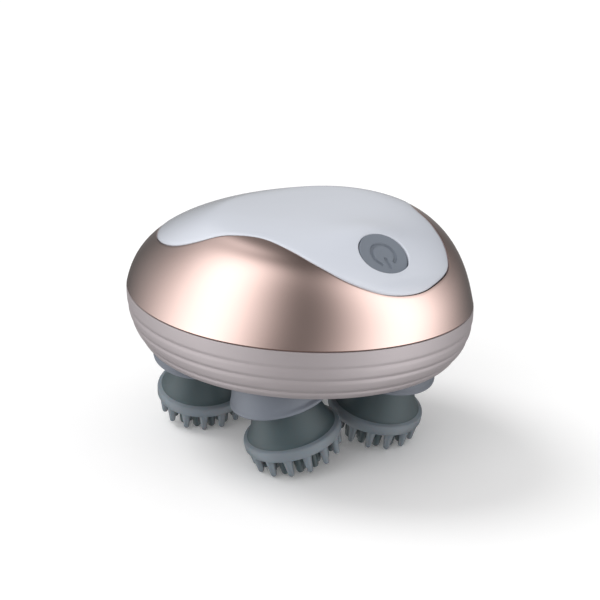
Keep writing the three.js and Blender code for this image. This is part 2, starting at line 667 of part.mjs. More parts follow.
function gearDeck() {
  const outline = (z, inset) => baseLevel(SEAM_Z - z, inset);
  const inset = SHELL_WALL + TONGUE_WALL + 2 * GAP; // inside the upper shell's tongue
  const plate = lofted([outline(deckBottom, inset), outline(deckTop, inset)]);
  const seatBore = MOTOR_RADIUS + GAP;
  const seat = ring(seatBore, seatBore + DECK_SEAT_WALL, deckTop - 1, deckTop + MOTOR_SEAT_HEIGHT);
  const cradle = cradleSolid();
  const posts = boardPosts();
  const motorHole = rod(MOTOR_COLLAR_RADIUS + GAP, deckBottom - 1, deckTop + 1, ROUND_STEPS);
  const shaftHole = rod(SHAFT_RADIUS + RUNNING_GAP, deckBottom - 1, deckTop + 1);
  const holes = HEADS.map((head) => shaftHole.translate([head.x * HEAD_X, head.y * HEAD_Y, 0]));
  const screwHole = rod(SCREW_RADIUS + GAP, deckBottom - 1, deckTop + 1);
  const screwHoles = [[endPostX, 0], [-endPostX, 0], [0, sidePostY], [0, -sidePostY]]
    .map(([x, y]) => screwHole.translate([x, y, 0]));
  const axleHole = rod(AXLE_RADIUS + GAP, deckBottom - 1, deckBottom + AXLE_SEAT + GAP);
  const cuts = [
    motorHole.translate([motorX, 0, 0]), ...holes, ...screwHoles, axleHole.translate([idlerX, 0, 0]),
  ];
  return without(joined([plate, seat.translate([motorX, 0, 0]), cradle, ...posts]), cuts);
}

const motorBottom = deckTop + GAP;
const motorTop = motorBottom + MOTOR_HEIGHT;
const clampOuter = MOTOR_RADIUS + GAP + CLAMP_WALL;
const batteryX = motorX + clampOuter + BATTERY_CLEARANCE + BATTERY_RADIUS;
const batteryZ = deckTop + SHAFT_END + 2 * GAP + BATTERY_RADIUS; // over the shafts' ends
const boardBottom = motorTop + BOARD_ABOVE_MOTOR;

function cradleSolid() {
  const rib = block(2 * BATTERY_RADIUS + 2, CRADLE_RIB, deckTop - 0.5, batteryZ);
  const bed = rod(BATTERY_RADIUS + GAP, -BATTERY_LENGTH, BATTERY_LENGTH, ROUND_STEPS);
  const lying = bed.transform(new THREE.Matrix4().makeRotationX(Math.PI / 2).elements);
  const room = lying.translate([batteryX, 0, batteryZ]);
  const ribs = [-1, 1].map((side) => rib.translate([batteryX, side * CRADLE_SPREAD, 0]));
  return joined(ribs).subtract(room);
}

function boardPosts() {
  const x = motorX - BOARD_LENGTH / 2 + BOARD_POST_INSET;
  const y = BOARD_WIDTH / 2 - BOARD_POST_INSET;
  const post = rod(BOARD_POST_RADIUS, deckTop - 0.5, boardBottom - GAP);
  return [-1, 1].map((side) => post.translate([x, side * y, 0]));
}

function addDrive() {
  addMesh('gear_deck', gearDeck(), 'plastic');

  const can = rod(MOTOR_RADIUS, 0, MOTOR_HEIGHT, ROUND_STEPS);
  const collar = rod(MOTOR_COLLAR_RADIUS, -DECK_THICKNESS, 0.5);
  const cap = rod(MOTOR_COLLAR_RADIUS, MOTOR_HEIGHT - 0.5, MOTOR_HEIGHT + MOTOR_CAP_HEIGHT);
  const bore = rod(MOTOR_SHAFT_RADIUS + RUNNING_GAP, -DECK_THICKNESS - 1, 4);
  const motor = joined([can, collar, cap]).subtract(bore);
  addMesh('motor', motor, 'steel').position.set(motorX, 0, motorBottom);

  const clampBottom = deckTop + MOTOR_SEAT_HEIGHT + GAP;
  const band = ring(MOTOR_RADIUS + GAP, clampOuter, clampBottom, clampBottom + CLAMP_HEIGHT);
  addMesh('motor_clamp', band, 'plastic').position.x = motorX;

  const cell = rod(BATTERY_RADIUS, -BATTERY_LENGTH / 2, BATTERY_LENGTH / 2, ROUND_STEPS);
  const nubEnd = BATTERY_LENGTH / 2 + BATTERY_NUB_HEIGHT;
  const nub = rod(BATTERY_NUB_RADIUS, BATTERY_LENGTH / 2 - 0.5, nubEnd);
  const battery = addMesh('battery', cell.add(nub), 'cell');
  battery.position.set(batteryX, 0, batteryZ);
  battery.rotation.x = Math.PI / 2;

  const board = block(BOARD_LENGTH, BOARD_WIDTH, boardBottom, boardBottom + BOARD_THICKNESS);
  addMesh('main_board', board, 'board').position.x = motorX;
}

// One massage head's pieces, in a frame on the turning axis at the disc's top face
const discTop = baseBottom - DISC_TOP_GAP;
const tilt = THREE.MathUtils.degToRad(TILT);
const tipReach = PRONG_RINGS[0].radius + PRONG_TIP_RADIUS;
const headHeight = (HEAD_GAP + HEAD_DROP + PRONG_LENGTH) * Math.cos(tilt);
// the disc fills what is left over the head when its lowest prong stands on the floor
const discCentreHeight = discTop - headHeight - tipReach * Math.sin(tilt);

function tilted(z) {
  const frame = new THREE.Group();
  frame.position.z = z;
  frame.rotation.y = tilt; // the head's own axis leans to the frame's +X side
  return frame;
}

function wedgeDisc() {
  const drum = rod(DISC_RADIUS, -discTop, 0, ROUND_STEPS);
  const below = block(6 * DISC_RADIUS, 6 * DISC_RADIUS, -2 * discTop, 0);
  const under = below.transform(lowerFrame.matrix.elements);
  const lip = rod(DISC_LIP_RADIUS, 0, DISC_LIP_HEIGHT, ROUND_STEPS);
  const lipPlaced = lip.transform(lowerFrame.matrix.elements);
  const shaftTop = deckTop + SHAFT_END - discTop;
  const grooveLow = deckTop + GAP + CLIP_LIFT - discTop;
  const grooveHigh = grooveLow + CLIP_GROOVE_HEIGHT;
  const shaft = rod(SHAFT_RADIUS, -1, shaftTop);
  const groove = ring(SHAFT_RADIUS - CLIP_GROOVE, SHAFT_RADIUS + 1, grooveLow, grooveHigh);
  const pinBore = rod(PIN_RADIUS + GAP, -1, PIN_BITE + GAP).transform(lowerFrame.matrix.elements);
  const body = drum.subtract(under).add(lipPlaced.intersect(below));
  return without(body.add(shaft), [groove, pinBore]);
}

const lowerFrame = tilted(-discCentreHeight);
lowerFrame.updateMatrix();

// Heights on the head's own axis, zero on the disc's tilted face
const neck = -HEAD_GAP;
const rimLow = neck - HEAD_DROP;
const rimHigh = rimLow + RIM_HEIGHT;
const hubBottom = rimLow + CUP_DEPTH - HUB_DROP;

function massageHead() {
  const bellLow = rimHigh + RIM_SLOPE;
  const cupRadius = RIM_RADIUS - RIM_CHAMFER - RIM_FOOT;
  const profile = [
    [HUB_RADIUS + GAP, rimLow + CUP_DEPTH], [cupRadius - RIM_FLARE, rimLow + CUP_DEPTH],
    [cupRadius, rimLow], [RIM_RADIUS - RIM_CHAMFER, rimLow], [RIM_RADIUS, rimLow + RIM_CHAMFER],
    [RIM_RADIUS, rimHigh], [BELL_RADIUS, bellLow],
  ];
  for (let i = 1; i <= BELL_STEPS; i += 1) {
    const share = i / BELL_STEPS;
    const radius = BELL_RADIUS - (BELL_RADIUS - NECK_RADIUS) * share ** BELL_CURVE;
    profile.push([radius, bellLow + (neck - bellLow) * Math.sin((share * Math.PI) / 2)]);
  }
  profile.push([HUB_RADIUS + GAP, neck]);
  const bell = turned(profile);
  const floor = rimLow + CUP_DEPTH + PRONG_BITE;
  const prongs = [];
  for (const { radius, count } of PRONG_RINGS) {
    const prong = turned([
      [0, rimLow - PRONG_LENGTH], [PRONG_TIP_RADIUS, rimLow - PRONG_LENGTH],
      [PRONG_ROOT_RADIUS, floor], [0, floor],
    ], PRONG_STEPS).rotate([0, 0, 90]);
    for (let i = 0; i < count; i += 1) {
      const angle = (i / count) * 2 * Math.PI;
      prongs.push(prong.translate([radius * Math.cos(angle), radius * Math.sin(angle), 0]));
    }
  }
  return joined([bell, ...prongs]);
}

function headHub() {
  return ring(PIN_RADIUS + RUNNING_GAP, HUB_RADIUS, hubBottom, neck, SMALL_STEPS);
}

function headPin() {
  const headTop = hubBottom - GAP;
  const headLow = headTop - PIN_HEAD_HEIGHT;
  const cap = rod(PIN_HEAD_RADIUS, headLow, headTop);
  const slot = block(2 * PIN_HEAD_RADIUS + 1, SLOT_WIDTH, headLow - 1, headLow + SLOT_DEPTH);
  return cap.add(rod(PIN_RADIUS, headTop - 0.5, PIN_BITE)).subtract(slot);
}

function addHeads() {
  const outputGear = gear(OUTPUT_TEETH, GEAR_WIDTH, SHAFT_RADIUS + GAP);
  const disc = wedgeDisc();
  const head = massageHead();
  const seal = ring(SHAFT_RADIUS + GAP, SEAL_RADIUS, 0, FLOOR_THICKNESS, SMALL_STEPS);
  const clipBore = SHAFT_RADIUS - CLIP_GROOVE + CLIP_GAP;
  const clip = ring(clipBore, SHAFT_RADIUS + CLIP_REACH, 0, CLIP_HEIGHT, SMALL_STEPS);
  const clipBottom = deckTop + GAP + CLIP_LIFT + CLIP_GAP;
  for (const place of HEADS) {
    const corner = new THREE.Group();
    corner.position.set(place.x * HEAD_X, place.y * HEAD_Y, 0);
    group.add(corner);
    const direction = Math.atan2(place.y * HEAD_Y, place.x * HEAD_X);
    const turning = addMesh(`output_gear_${place.name}`, outputGear, 'gear', corner);
    turning.position.z = gearBottom;
    turning.rotation.z = meshTurn(direction, SUN_TEETH, OUTPUT_TEETH);
    addMesh(`shaft_seal_${place.name}`, seal, 'rubber', corner).position.z = baseBottom;
    addMesh(`shaft_clip_${place.name}`, clip, 'steel', corner).position.z = clipBottom;

    const spinning = new THREE.Group();
    spinning.position.z = discTop;
    spinning.rotation.z = THREE.MathUtils.degToRad(place.lean);
    corner.add(spinning);
    addMesh(`wedge_disc_${place.name}`, disc, 'disc', spinning);
    const leaning = tilted(-discCentreHeight);
    spinning.add(leaning);
    addMesh(`massage_head_${place.name}`, head, 'silicone', leaning);
    addMesh(`head_hub_${place.name}`, headHub(), 'disc', leaning);
    addMesh(`head_pin_${place.name}`, headPin(), 'steel', leaning);
  }
}

addUpperBody();
addButton();
addLowerBody();
addGears();
addDrive();
addHeads();

export default group;
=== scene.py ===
# %% [markdown]
# # A four-head scalp massager
#
# The object is a hand-held dome on four tilted, turning silicone heads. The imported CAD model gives
# the frame: every size, every body and every joint. This lesson puts smooth, finished skins over
# that frame, gives each piece the finish of its real material, and lights it like a product on a
# white table.

import json
import math

import bmesh
import bpy
import numpy as np
from mathutils import Matrix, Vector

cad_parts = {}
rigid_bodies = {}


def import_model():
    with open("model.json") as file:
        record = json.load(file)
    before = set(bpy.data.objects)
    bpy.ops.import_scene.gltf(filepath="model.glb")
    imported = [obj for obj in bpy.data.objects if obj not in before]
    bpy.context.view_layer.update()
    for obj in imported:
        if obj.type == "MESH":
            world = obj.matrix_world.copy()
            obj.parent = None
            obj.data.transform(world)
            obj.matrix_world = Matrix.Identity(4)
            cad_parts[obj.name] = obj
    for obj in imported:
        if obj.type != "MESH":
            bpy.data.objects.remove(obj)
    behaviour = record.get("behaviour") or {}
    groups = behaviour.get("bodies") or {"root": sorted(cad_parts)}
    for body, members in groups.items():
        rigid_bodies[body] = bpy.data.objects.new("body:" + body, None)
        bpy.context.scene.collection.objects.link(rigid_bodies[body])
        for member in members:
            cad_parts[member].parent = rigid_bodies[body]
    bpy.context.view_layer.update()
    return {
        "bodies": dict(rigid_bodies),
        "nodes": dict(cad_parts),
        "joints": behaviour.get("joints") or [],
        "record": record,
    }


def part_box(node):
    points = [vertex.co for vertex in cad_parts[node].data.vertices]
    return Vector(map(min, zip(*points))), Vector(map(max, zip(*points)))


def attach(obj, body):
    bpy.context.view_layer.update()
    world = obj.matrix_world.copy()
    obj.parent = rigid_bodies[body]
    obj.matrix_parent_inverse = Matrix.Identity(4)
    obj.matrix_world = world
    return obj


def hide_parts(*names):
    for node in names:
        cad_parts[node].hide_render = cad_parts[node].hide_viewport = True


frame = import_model()
bodies = sorted(frame["bodies"])
print("bodies:", ", ".join(bodies))

# %% [markdown]
# ## The camera
#
# The object is seen from its button end, well off to one side and a little from above. The lens is
# long, as it is in most product pictures, so that the round body doesn't look swollen. A place is
# worked out from three angles and a distance, because those are what a photographer would note.

# %% Camera
MM = 0.001
CAMERA_AZIMUTH = math.radians(55.35)  # round from the right side towards the button end
CAMERA_ELEVATION = math.radians(17.66)
CAMERA_DISTANCE = 484 * MM
CAMERA_SHIFT_RIGHT = 2.337 * MM  # the aim, to the right of the body's middle line
CAMERA_AIM_HEIGHT = 40.741 * MM
PICTURE_SIZE = 600
FOCAL_PIXELS = 1672.4
SENSOR_WIDTH = 36


def in_scene(name, data):
    """A new object that is linked into the scene."""
    thing = bpy.data.objects.new(name, data)
    bpy.context.scene.collection.objects.link(thing)
    return thing


def facing(x_axis, y_axis, z_axis):
    """The 4 by 4 turn that lays an object's axes along these three."""
    return Matrix(np.column_stack([x_axis, y_axis, z_axis]).tolist()).to_4x4()


back = np.array([
    math.sin(CAMERA_AZIMUTH) * math.cos(CAMERA_ELEVATION),
    -math.cos(CAMERA_AZIMUTH) * math.cos(CAMERA_ELEVATION),
    math.sin(CAMERA_ELEVATION),
])
right = np.array([math.cos(CAMERA_AZIMUTH), math.sin(CAMERA_AZIMUTH), 0])
aim = right * CAMERA_SHIFT_RIGHT + np.array([0, 0, CAMERA_AIM_HEIGHT])
eye = aim + back * CAMERA_DISTANCE

camera_data = bpy.data.cameras.new("camera")
camera_data.sensor_width = SENSOR_WIDTH
camera_data.lens = FOCAL_PIXELS / PICTURE_SIZE * SENSOR_WIDTH
camera_data.clip_start = 10 * MM
camera = in_scene("camera", camera_data)
camera.matrix_world = Matrix.Translation(eye) @ facing(right, np.cross(back, right), back)
bpy.context.scene.camera = camera
print("lens in mm:", round(camera_data.lens, 1))

# %% [markdown]
# ## Colours and nodes
#
# Colours are noted as sRGB hex values, the way a designer would give them, and a renderer works in
# linear light, so one function turns one into the other. One more function adds a node, sets its
# values and joins its inputs. Patterns are given in millimetres, and the object's coordinates are
# in metres, so a third function turns the size of a grain into a texture scale.

# %% Helpers for materials
def linear(hex_colour):
    """An sRGB hex colour as linear red, green, blue and alpha."""
    channels = [int(hex_colour[i:i + 2], 16) / 255 for i in (1, 3, 5)]
    return [c / 12.92 if c <= 0.04045 else ((c + 0.055) / 1.055) ** 2.4 for c in channels] + [1]


def add(tree, kind, inputs=None, **settings):
    """Adds a node. An input takes a value, or another node's output to join."""
    node = tree.nodes.new(kind)
    for name, value in settings.items():
        setattr(node, name, value)
    for name, value in (inputs or {}).items():
        if isinstance(value, bpy.types.NodeSocket):
            tree.links.new(value, node.inputs[name])
        else:
            node.inputs[name].default_value = value
    return node


def grain_scale(size_mm):
    """The texture scale whose pattern repeats about every size_mm."""
    return 1 / (size_mm * MM)


def new_finish(name):
    """A material with an empty node tree and its output."""
    finish = bpy.data.materials.new(name)
    finish.use_nodes = True
    finish.node_tree.nodes.clear()
    output = add(finish.node_tree, "ShaderNodeOutputMaterial")
    return finish, finish.node_tree, output


print("mid grey #808080 in linear light:", round(linear("#808080")[0], 3))

# %% [markdown]
# ## One recipe for moulded finishes
#
# Most pieces are moulded, and differ in colour, gloss and grain, so one recipe serves them all.
# The colour drifts between two close shades in soft patches, as pigment does. A fine noise stands
# for the mould's texture: it raises tiny bumps and makes the gloss uneven. A lacquer is a coat on
# top, and rubber lets some light in.

# %% Moulded finish
# A Mix node has a socket of each name for each kind of value. These are the ones for colours.
MIX_SHARE, MIX_A, MIX_B, MIX_RESULT = 0, 6, 7, 2
CLOUD_MM = 18  # size of the soft patches in which a colour drifts between its two shades
GLOSS_SPREAD = 0.12  # the share by which the roughness strays to either side
GRAIN_STRENGTH = 0.5
COAT_ROUGHNESS = 0.06
LIGHT_DEPTH_MM = 1.5  # how far light gets into rubber and waxy plastic


def moulded(name, colour, shade, roughness, grain_mm, depth_mm, metallic=0.0, ior=1.5, coat=0.0,
            subsurface=0.0):
    """A moulded or painted finish: two close shades in soft clouds, a fine grain, uneven gloss."""
    finish, tree, output = new_finish(name)
    place = add(tree, "ShaderNodeTexCoord").outputs["Object"]
    clouds = add(tree, "ShaderNodeTexNoise",
                 {"Vector": place, "Scale": grain_scale(CLOUD_MM), "Detail": 3}).outputs["Fac"]
    tint = add(tree, "ShaderNodeMix",
               {MIX_SHARE: clouds, MIX_A: linear(colour), MIX_B: linear(shade)}, data_type="RGBA")
    fine = add(tree, "ShaderNodeTexNoise",
               {"Vector": place, "Scale": grain_scale(grain_mm), "Detail": 2}).outputs["Fac"]
    gloss = add(tree, "ShaderNodeMapRange",
                {"Value": fine, "To Min": roughness * (1 - GLOSS_SPREAD),
                 "To Max": roughness * (1 + GLOSS_SPREAD)})
    bump = add(tree, "ShaderNodeBump",
               {"Height": fine, "Strength": GRAIN_STRENGTH, "Distance": depth_mm * MM})
    shader = add(tree, "ShaderNodeBsdfPrincipled", {
        "Base Color": tint.outputs[MIX_RESULT], "Roughness": gloss.outputs["Result"],
        "Normal": bump.outputs["Normal"], "Metallic": metallic,
    })
    if metallic < 0.5:
        shader.inputs["IOR"].default_value = ior
    if coat:
        shader.inputs["Coat Weight"].default_value = coat
        shader.inputs["Coat Roughness"].default_value = COAT_ROUGHNESS
    if subsurface:
        shader.inputs["Subsurface Weight"].default_value = subsurface
        shader.inputs["Subsurface Scale"].default_value = LIGHT_DEPTH_MM * MM
    tree.links.new(shader.outputs["BSDF"], output.inputs["Surface"])
    return finish


print("size of the colour's soft patches in mm:", CLOUD_MM)

# %% [markdown]
# ## Finishes that show
#
# The upper shell is ABS with a thin metal layer under tinted lacquer, rose gold in colour: a true
# metal reflection, softened by the lacquer. The cover is glossy white ABS straight from a polished
# mould. The base has a satin silver paint, whose flakes lie in a clear binder, so it looks only
# half metal and rather rough. The gasket is a matt elastic TPE. The button and the discs are ABS
# from a fine spark-eroded mould, so they are matt with a light grain. The heads are silicone
# rubber, which has a soft skin that lets a little light in, and more of it at the thin, paler rim.

# %% Finishes for the outside
finishes = {
    "rose_gold_shell": moulded("metallised_abs_rose_gold", "#d6bdb6", "#d3b8b0", 0.21, 0.25, 0.0015,
                               metallic=1.0, coat=0.2),
    "gloss_cover": moulded("polished_abs_white", "#d7dbe4", "#d4d8e2", 0.11, 0.9, 0.0015,
                           coat=0.35),
    "silver_base": moulded("satin_silver_paint", "#afa7a9", "#a9a1a3", 0.47, 0.2, 0.003,
                           metallic=0.42),
    "seam_gasket": moulded("tpe_seam_gasket", "#6a5048", "#60473f", 0.55, 0.3, 0.01),
    "button_grey": moulded("spark_eroded_abs_grey", "#7a818c", "#737a84", 0.46, 0.22, 0.012),
    "disc_grey": moulded("satin_abs_pale_grey", "#727883", "#6b717b", 0.42, 0.3, 0.008),
    "silicone_head": moulded("silicone_slate", "#4a575b", "#424f53", 0.42, 0.35, 0.010,
                             ior=1.42, subsurface=0.15),
}
rim_finish = moulded("silicone_rim_pale", "#7d868e", "#757e85", 0.36, 0.35, 0.008,
                     ior=1.42, subsurface=0.2)
print("finishes for the outside:", len(finishes))

# %% [markdown]
# ## Finishes inside the case
#
# Gears are moulded in acetal, a waxy off-white plastic. The deck, the clamp and the contact block
# are black glass-filled nylon, whose fibres leave a speckled grey bloom. Screws and axles are
# plated steel, the contacts are gold over brass, the boards are glass epoxy under a green mask,
# and the cell wears a shrunk blue sleeve.

# %% Finishes for the drive and the electronics
finishes.update({
    "gear_resin": moulded("acetal_gear_white", "#e9e4d6", "#e2dccd", 0.38, 0.4, 0.006,
                          subsurface=0.1),
    "black_plastic": moulded("glass_filled_nylon_black", "#2c2f33", "#34373b", 0.55, 0.35, 0.015),
    "steel": moulded("plated_steel", "#c4c8cc", "#b9bdc2", 0.28, 0.15, 0.004, metallic=1.0),
    "gold_contact": moulded("gold_plated_brass", "#d9b45a", "#d0aa50", 0.22, 0.12, 0.002,
                            metallic=1.0),
    "circuit_board": moulded("green_solder_mask", "#1f6b45", "#1a603d", 0.35, 0.5, 0.01, coat=0.4),
    "battery_wrap": moulded("shrink_sleeve_blue", "#3b6ea8", "#35659c", 0.30, 0.8, 0.01),
    "seal_rubber": moulded("nitrile_rubber_black", "#33383b", "#2d3235", 0.65, 0.3, 0.01),
})
slot_of_node = {part["node"]: part["material_slot"] for part in frame["record"]["subparts"]}
NODE_ROUND_MM, NODE_SHARP_DEG = 0.12, 35  # moulded edges sharper than this get a small round
for name, piece in frame["nodes"].items():
    piece.data.materials.clear()
    piece.data.materials.append(finishes[slot_of_node[name]])
    soften = piece.modifiers.new("moulding_radius", "BEVEL")
    soften.width = NODE_ROUND_MM * MM
    soften.segments = 2
    soften.limit_method = "ANGLE"
    soften.angle_limit = math.radians(NODE_SHARP_DEG)
    soften.harden_normals = False
print("CAD nodes with a finish:", len(frame["nodes"]), "and slots known:", len(slot_of_node))

# %% [markdown]
# ## Meshes from loops
#
# Every skin here is a loft: closed loops of points, one inside or above the other, joined by bands
# of four-sided faces. That fits moulded pieces well, since each loop can follow a formula, and an
# extra loop close to another gives a crisp or a rounded edge wherever it is wanted.

# %% Helpers for meshes
def loft(loops, cap_start=False, cap_end=False, closed=False):
    """Points and faces over loops of the same length. Closed joins the last loop to the first."""
    count = len(loops[0])
    points = [tuple(p) for loop in loops for p in loop]
    faces = []
    pairs = [(i, i + 1) for i in range(len(loops) - 1)]
    if closed:
        pairs.append((len(loops) - 1, 0))
    for a, b in pairs:
        for i in range(count):
            j = (i + 1) % count
            faces.append((a * count + i, a * count + j, b * count + j, b * count + i))
    if cap_start:
        points.append(tuple(np.mean(loops[0], axis=0)))
        middle = len(points) - 1
        faces += [(middle, (i + 1) % count, i) for i in range(count)]
    if cap_end:
        points.append(tuple(np.mean(loops[-1], axis=0)))
        middle = len(points) - 1
        start = (len(loops) - 1) * count
        faces += [(middle, start + i, start + (i + 1) % count) for i in range(count)]
    return points, faces


def moved(points, matrix):
    """Points in millimetres, through a 4 by 4 matrix that is in millimetres too."""
    spread = np.c_[np.asarray(points, float), np.ones(len(points))]
    return (spread @ np.array(matrix).T)[:, :3]


def joined(parts):
    """One list of points and faces from several."""
    points, faces = [], []
    for more_points, more_faces in parts:
        shift = len(points)
        points += [tuple(p) for p in more_points]
        faces += [tuple(i + shift for i in face) for face in more_faces]
    return points, faces


print("two rings of 12 points, lofted:", len(loft([np.zeros((12, 3))] * 2)[1]), "faces")

# %% [markdown]
# ## From points to a piece
#
# The points are in millimetres and a mesh is in metres, so one function turns one into the other,
# welds doubles and turns the faces outwards. The piece is shaded smooth, but for its sharp edges.

# %% Making a piece
WELD_MM = 0.002


def formed_mesh(name, points, faces):
    """A mesh from points in millimetres, with doubles welded and its faces turned outwards."""
    mesh = bpy.data.meshes.new(name)
    mesh.from_pydata([tuple(c * MM for c in p) for p in points], [], faces)
    shape = bmesh.new()
    shape.from_mesh(mesh)
    bmesh.ops.remove_doubles(shape, verts=shape.verts, dist=WELD_MM * MM)
    bmesh.ops.recalc_face_normals(shape, faces=shape.faces)
    shape.to_mesh(mesh)
    shape.free()
    return mesh


def make_piece(name, part, body, slot, stands_for, sharp_deg=40):
    """A finished piece from points in millimetres, on a body and in place of CAD nodes."""
    mesh = formed_mesh(name, *part)
    for polygon in mesh.polygons:
        polygon.use_smooth = True
    mesh.set_sharp_from_angle(angle=math.radians(sharp_deg))
    mesh.materials.append(finishes[slot])
    piece = in_scene(name, mesh)
    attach(piece, body)
    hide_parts(*stands_for)
    print(f"{name}: {len(mesh.polygons)} faces")
    return piece


print("points closer than this are welded, in mm:", WELD_MM)

# %% [markdown]
# ## The form of the dome
#
# Seen from above, the dome is an egg at every level. How far it reaches forwards, backwards and
# sideways shrinks towards the crest by three separate curves, so the button end is full and steep
# and the rear falls away gently. A level's share is 0 at the seam and 1 at the crest. To put a
# point on the skin, its share is found by halving the range again and again, since no formula
# gives it.

# %% Dome functions
HALF_LENGTH, HALF_WIDTH, EGG = 57.5, 45.9, 0.068
SEAM_Z, DOME_RISE, CREST_X = 44, 27, -13
FRONT_CURVE, BACK_CURVE, SIDE_CURVE = (2.494, 3.55), (2, 1.03), (0.9, 6.27)
HALVINGS = 40
TINY = 1e-9


def curved(share, curve):
    """How much of its reach is left at a share of the rise."""
    rise, rounding = curve
    return np.clip(1 - share ** rise, 0, None) ** (1 / rounding)


def level(share, inset=0.0):
    """Middle, half length and half width of the egg at a share of the rise."""
    length = HALF_LENGTH - inset
    front = CREST_X + (length - CREST_X) * curved(share, FRONT_CURVE)
    rear = CREST_X - (length + CREST_X) * curved(share, BACK_CURVE)
    return (front + rear) / 2, (front - rear) / 2, (HALF_WIDTH - inset) * curved(share, SIDE_CURVE)


def dome_loop(angles, share, inset=0.0):
    """Points on the dome at given angles round the egg, each at its own share."""
    middle, half_length, half_width = level(share, inset)
    x = middle + half_length * np.cos(angles)
    y = half_width * np.sin(angles) * (1 + EGG * np.cos(angles))
    z = SEAM_Z + (DOME_RISE - inset) * share + 0 * x
    return np.stack([x, y, z], axis=1)


def share_and_angle(x, y):
    """Where a point seen from above lies on the dome."""
    low, high = np.zeros_like(x), np.ones_like(x)
    for _ in range(HALVINGS):
        share = (low + high) / 2
        middle, half_length, half_width = level(share)
        along = (x - middle) / np.maximum(half_length, TINY)
        width = np.maximum(half_width * (1 + EGG * np.clip(along, -1, 1)), TINY)
        inside = along ** 2 + (y / width) ** 2 < 1
        low, high = np.where(inside, share, low), np.where(inside, high, share)
    return share, np.arctan2(y / width, along)


print("half width in mm at half the rise:", round(float(level(0.5)[2]), 1))

# %% [markdown]
# ## The crest
#
# The three curves meet in a small peak at the crest, which a real moulding doesn't have. So the
# shares are averaged over a grid round the crest, and the average takes over there. Between the
# grid's points a cubic blend keeps the skin free of facets, which the gloss would show at once.

# %% Crest
CREST_BLUR = 4.0  # spread of the average that rubs the crest smooth
CREST_RUBBED = 14.0  # how far round the crest it works
CREST_GRID = 44  # half the side of the averaged square, at a point a millimetre
GRID_START, GRID_END = 1, 2 * CREST_GRID - 2.001  # places with grid points on all sides


def averaged_crest():
    """Shares over a square round the crest, each the mean of those near it."""
    side = np.arange(-CREST_GRID, CREST_GRID + 1.0)
    x, y = np.meshgrid(side + CREST_X, side, indexing="ij")
    shares = share_and_angle(x, y)[0]
    reach = np.arange(-3 * CREST_BLUR, 3 * CREST_BLUR + 1)
    weights = np.exp(-(reach / CREST_BLUR) ** 2 / 2)
    weights /= weights.sum()
    for axis in (0, 1):
        shares = np.apply_along_axis(lambda row: np.convolve(row, weights, "same"), axis, shares)
    return shares


crest_shares = averaged_crest()


def blend_weights(part):
    """Cubic weights of the four grid points round a place, part of the way between two."""
    return [(1 - part) ** 3 / 6, (3 * part ** 3 - 6 * part ** 2 + 4) / 6,
            (-3 * part ** 3 + 3 * part ** 2 + 3 * part + 1) / 6, part ** 3 / 6]


def dome_height(x, y):
    """Height of the skin over a point, with the crest's small peak rubbed smooth."""
    plain = share_and_angle(x, y)[0]
    near = np.exp(-((np.hypot(x - CREST_X, y) / CREST_RUBBED) ** 2))
    u = np.clip(x - CREST_X + CREST_GRID, GRID_START, GRID_END)
    v = np.clip(y + CREST_GRID, GRID_START, GRID_END)
    row, column = np.floor(u).astype(int), np.floor(v).astype(int)
    smooth = np.zeros_like(plain)
    for i, across in enumerate(blend_weights(u - row)):
        for j, along in enumerate(blend_weights(v - column)):
            smooth += across * along * crest_shares[row + i - 1, column + j - 1]
    return SEAM_Z + DOME_RISE * (plain + near * (smooth - plain))


probe = np.array([CREST_X, 20.0, 43.3])
print("skin heights in mm along the middle:", np.round(dome_height(probe, probe * 0), 2))

# %% [markdown]
# ## The edge between the cover and the shell
#
# The cover meets the shell along one line that swings from the nose, dips along each side and
# closes behind the crest. A designer would draw that line with a few points and a smooth spline.
# The same is done here with a centripetal Catmull-Rom curve, which never loops or overshoots
# between points.

# %% Spline
SPLINE_STEPS = 40  # points drawn between two corners, before they are spaced evenly


def between(start, end, start_knot, end_knot, knot):
    """The point at a knot, on the straight line from start to end."""
    return ((end_knot - knot) * start + (knot - start_knot) * end) / (end_knot - start_knot)


def spline(corners, count):
    """Evenly spaced points along a closed centripetal Catmull-Rom curve."""
    corners = np.asarray(corners, float)
    dense = []
    for i in range(len(corners)):
        p = [corners[(i + k - 1) % len(corners)] for k in range(4)]
        k0, k1, k2, k3 = np.cumsum(
            [0] + [np.linalg.norm(p[k + 1] - p[k]) ** 0.5 for k in range(3)])
        for knot in np.linspace(k1, k2, SPLINE_STEPS, endpoint=False):
            first = between(p[0], p[1], k0, k1, knot)
            second = between(p[1], p[2], k1, k2, knot)
            third = between(p[2], p[3], k2, k3, knot)
            early = between(first, second, k0, k2, knot)
            late = between(second, third, k1, k3, knot)
            dense.append(between(early, late, k1, k2, knot))
    dense = np.array(dense + [dense[0]])
    walked = np.r_[0, np.cumsum(np.linalg.norm(np.diff(dense, axis=0), axis=1))]
    wanted = np.linspace(0, walked[-1], count, endpoint=False)
    return np.stack([np.interp(wanted, walked, dense[:, k]) for k in (0, 1)], axis=1)


print("points on a small round curve:", len(spline([(0, 0), (1, 0), (1, 1), (0, 1)], 8)))

# %% [markdown]
# ## The cover's outline
#
# One side of the line is typed, and the other is its mirror image. In front, the real line
# doesn't run quite evenly about the middle: it sits a little to the left. That shift comes in
# softly towards the button end, so it leaves no kink.

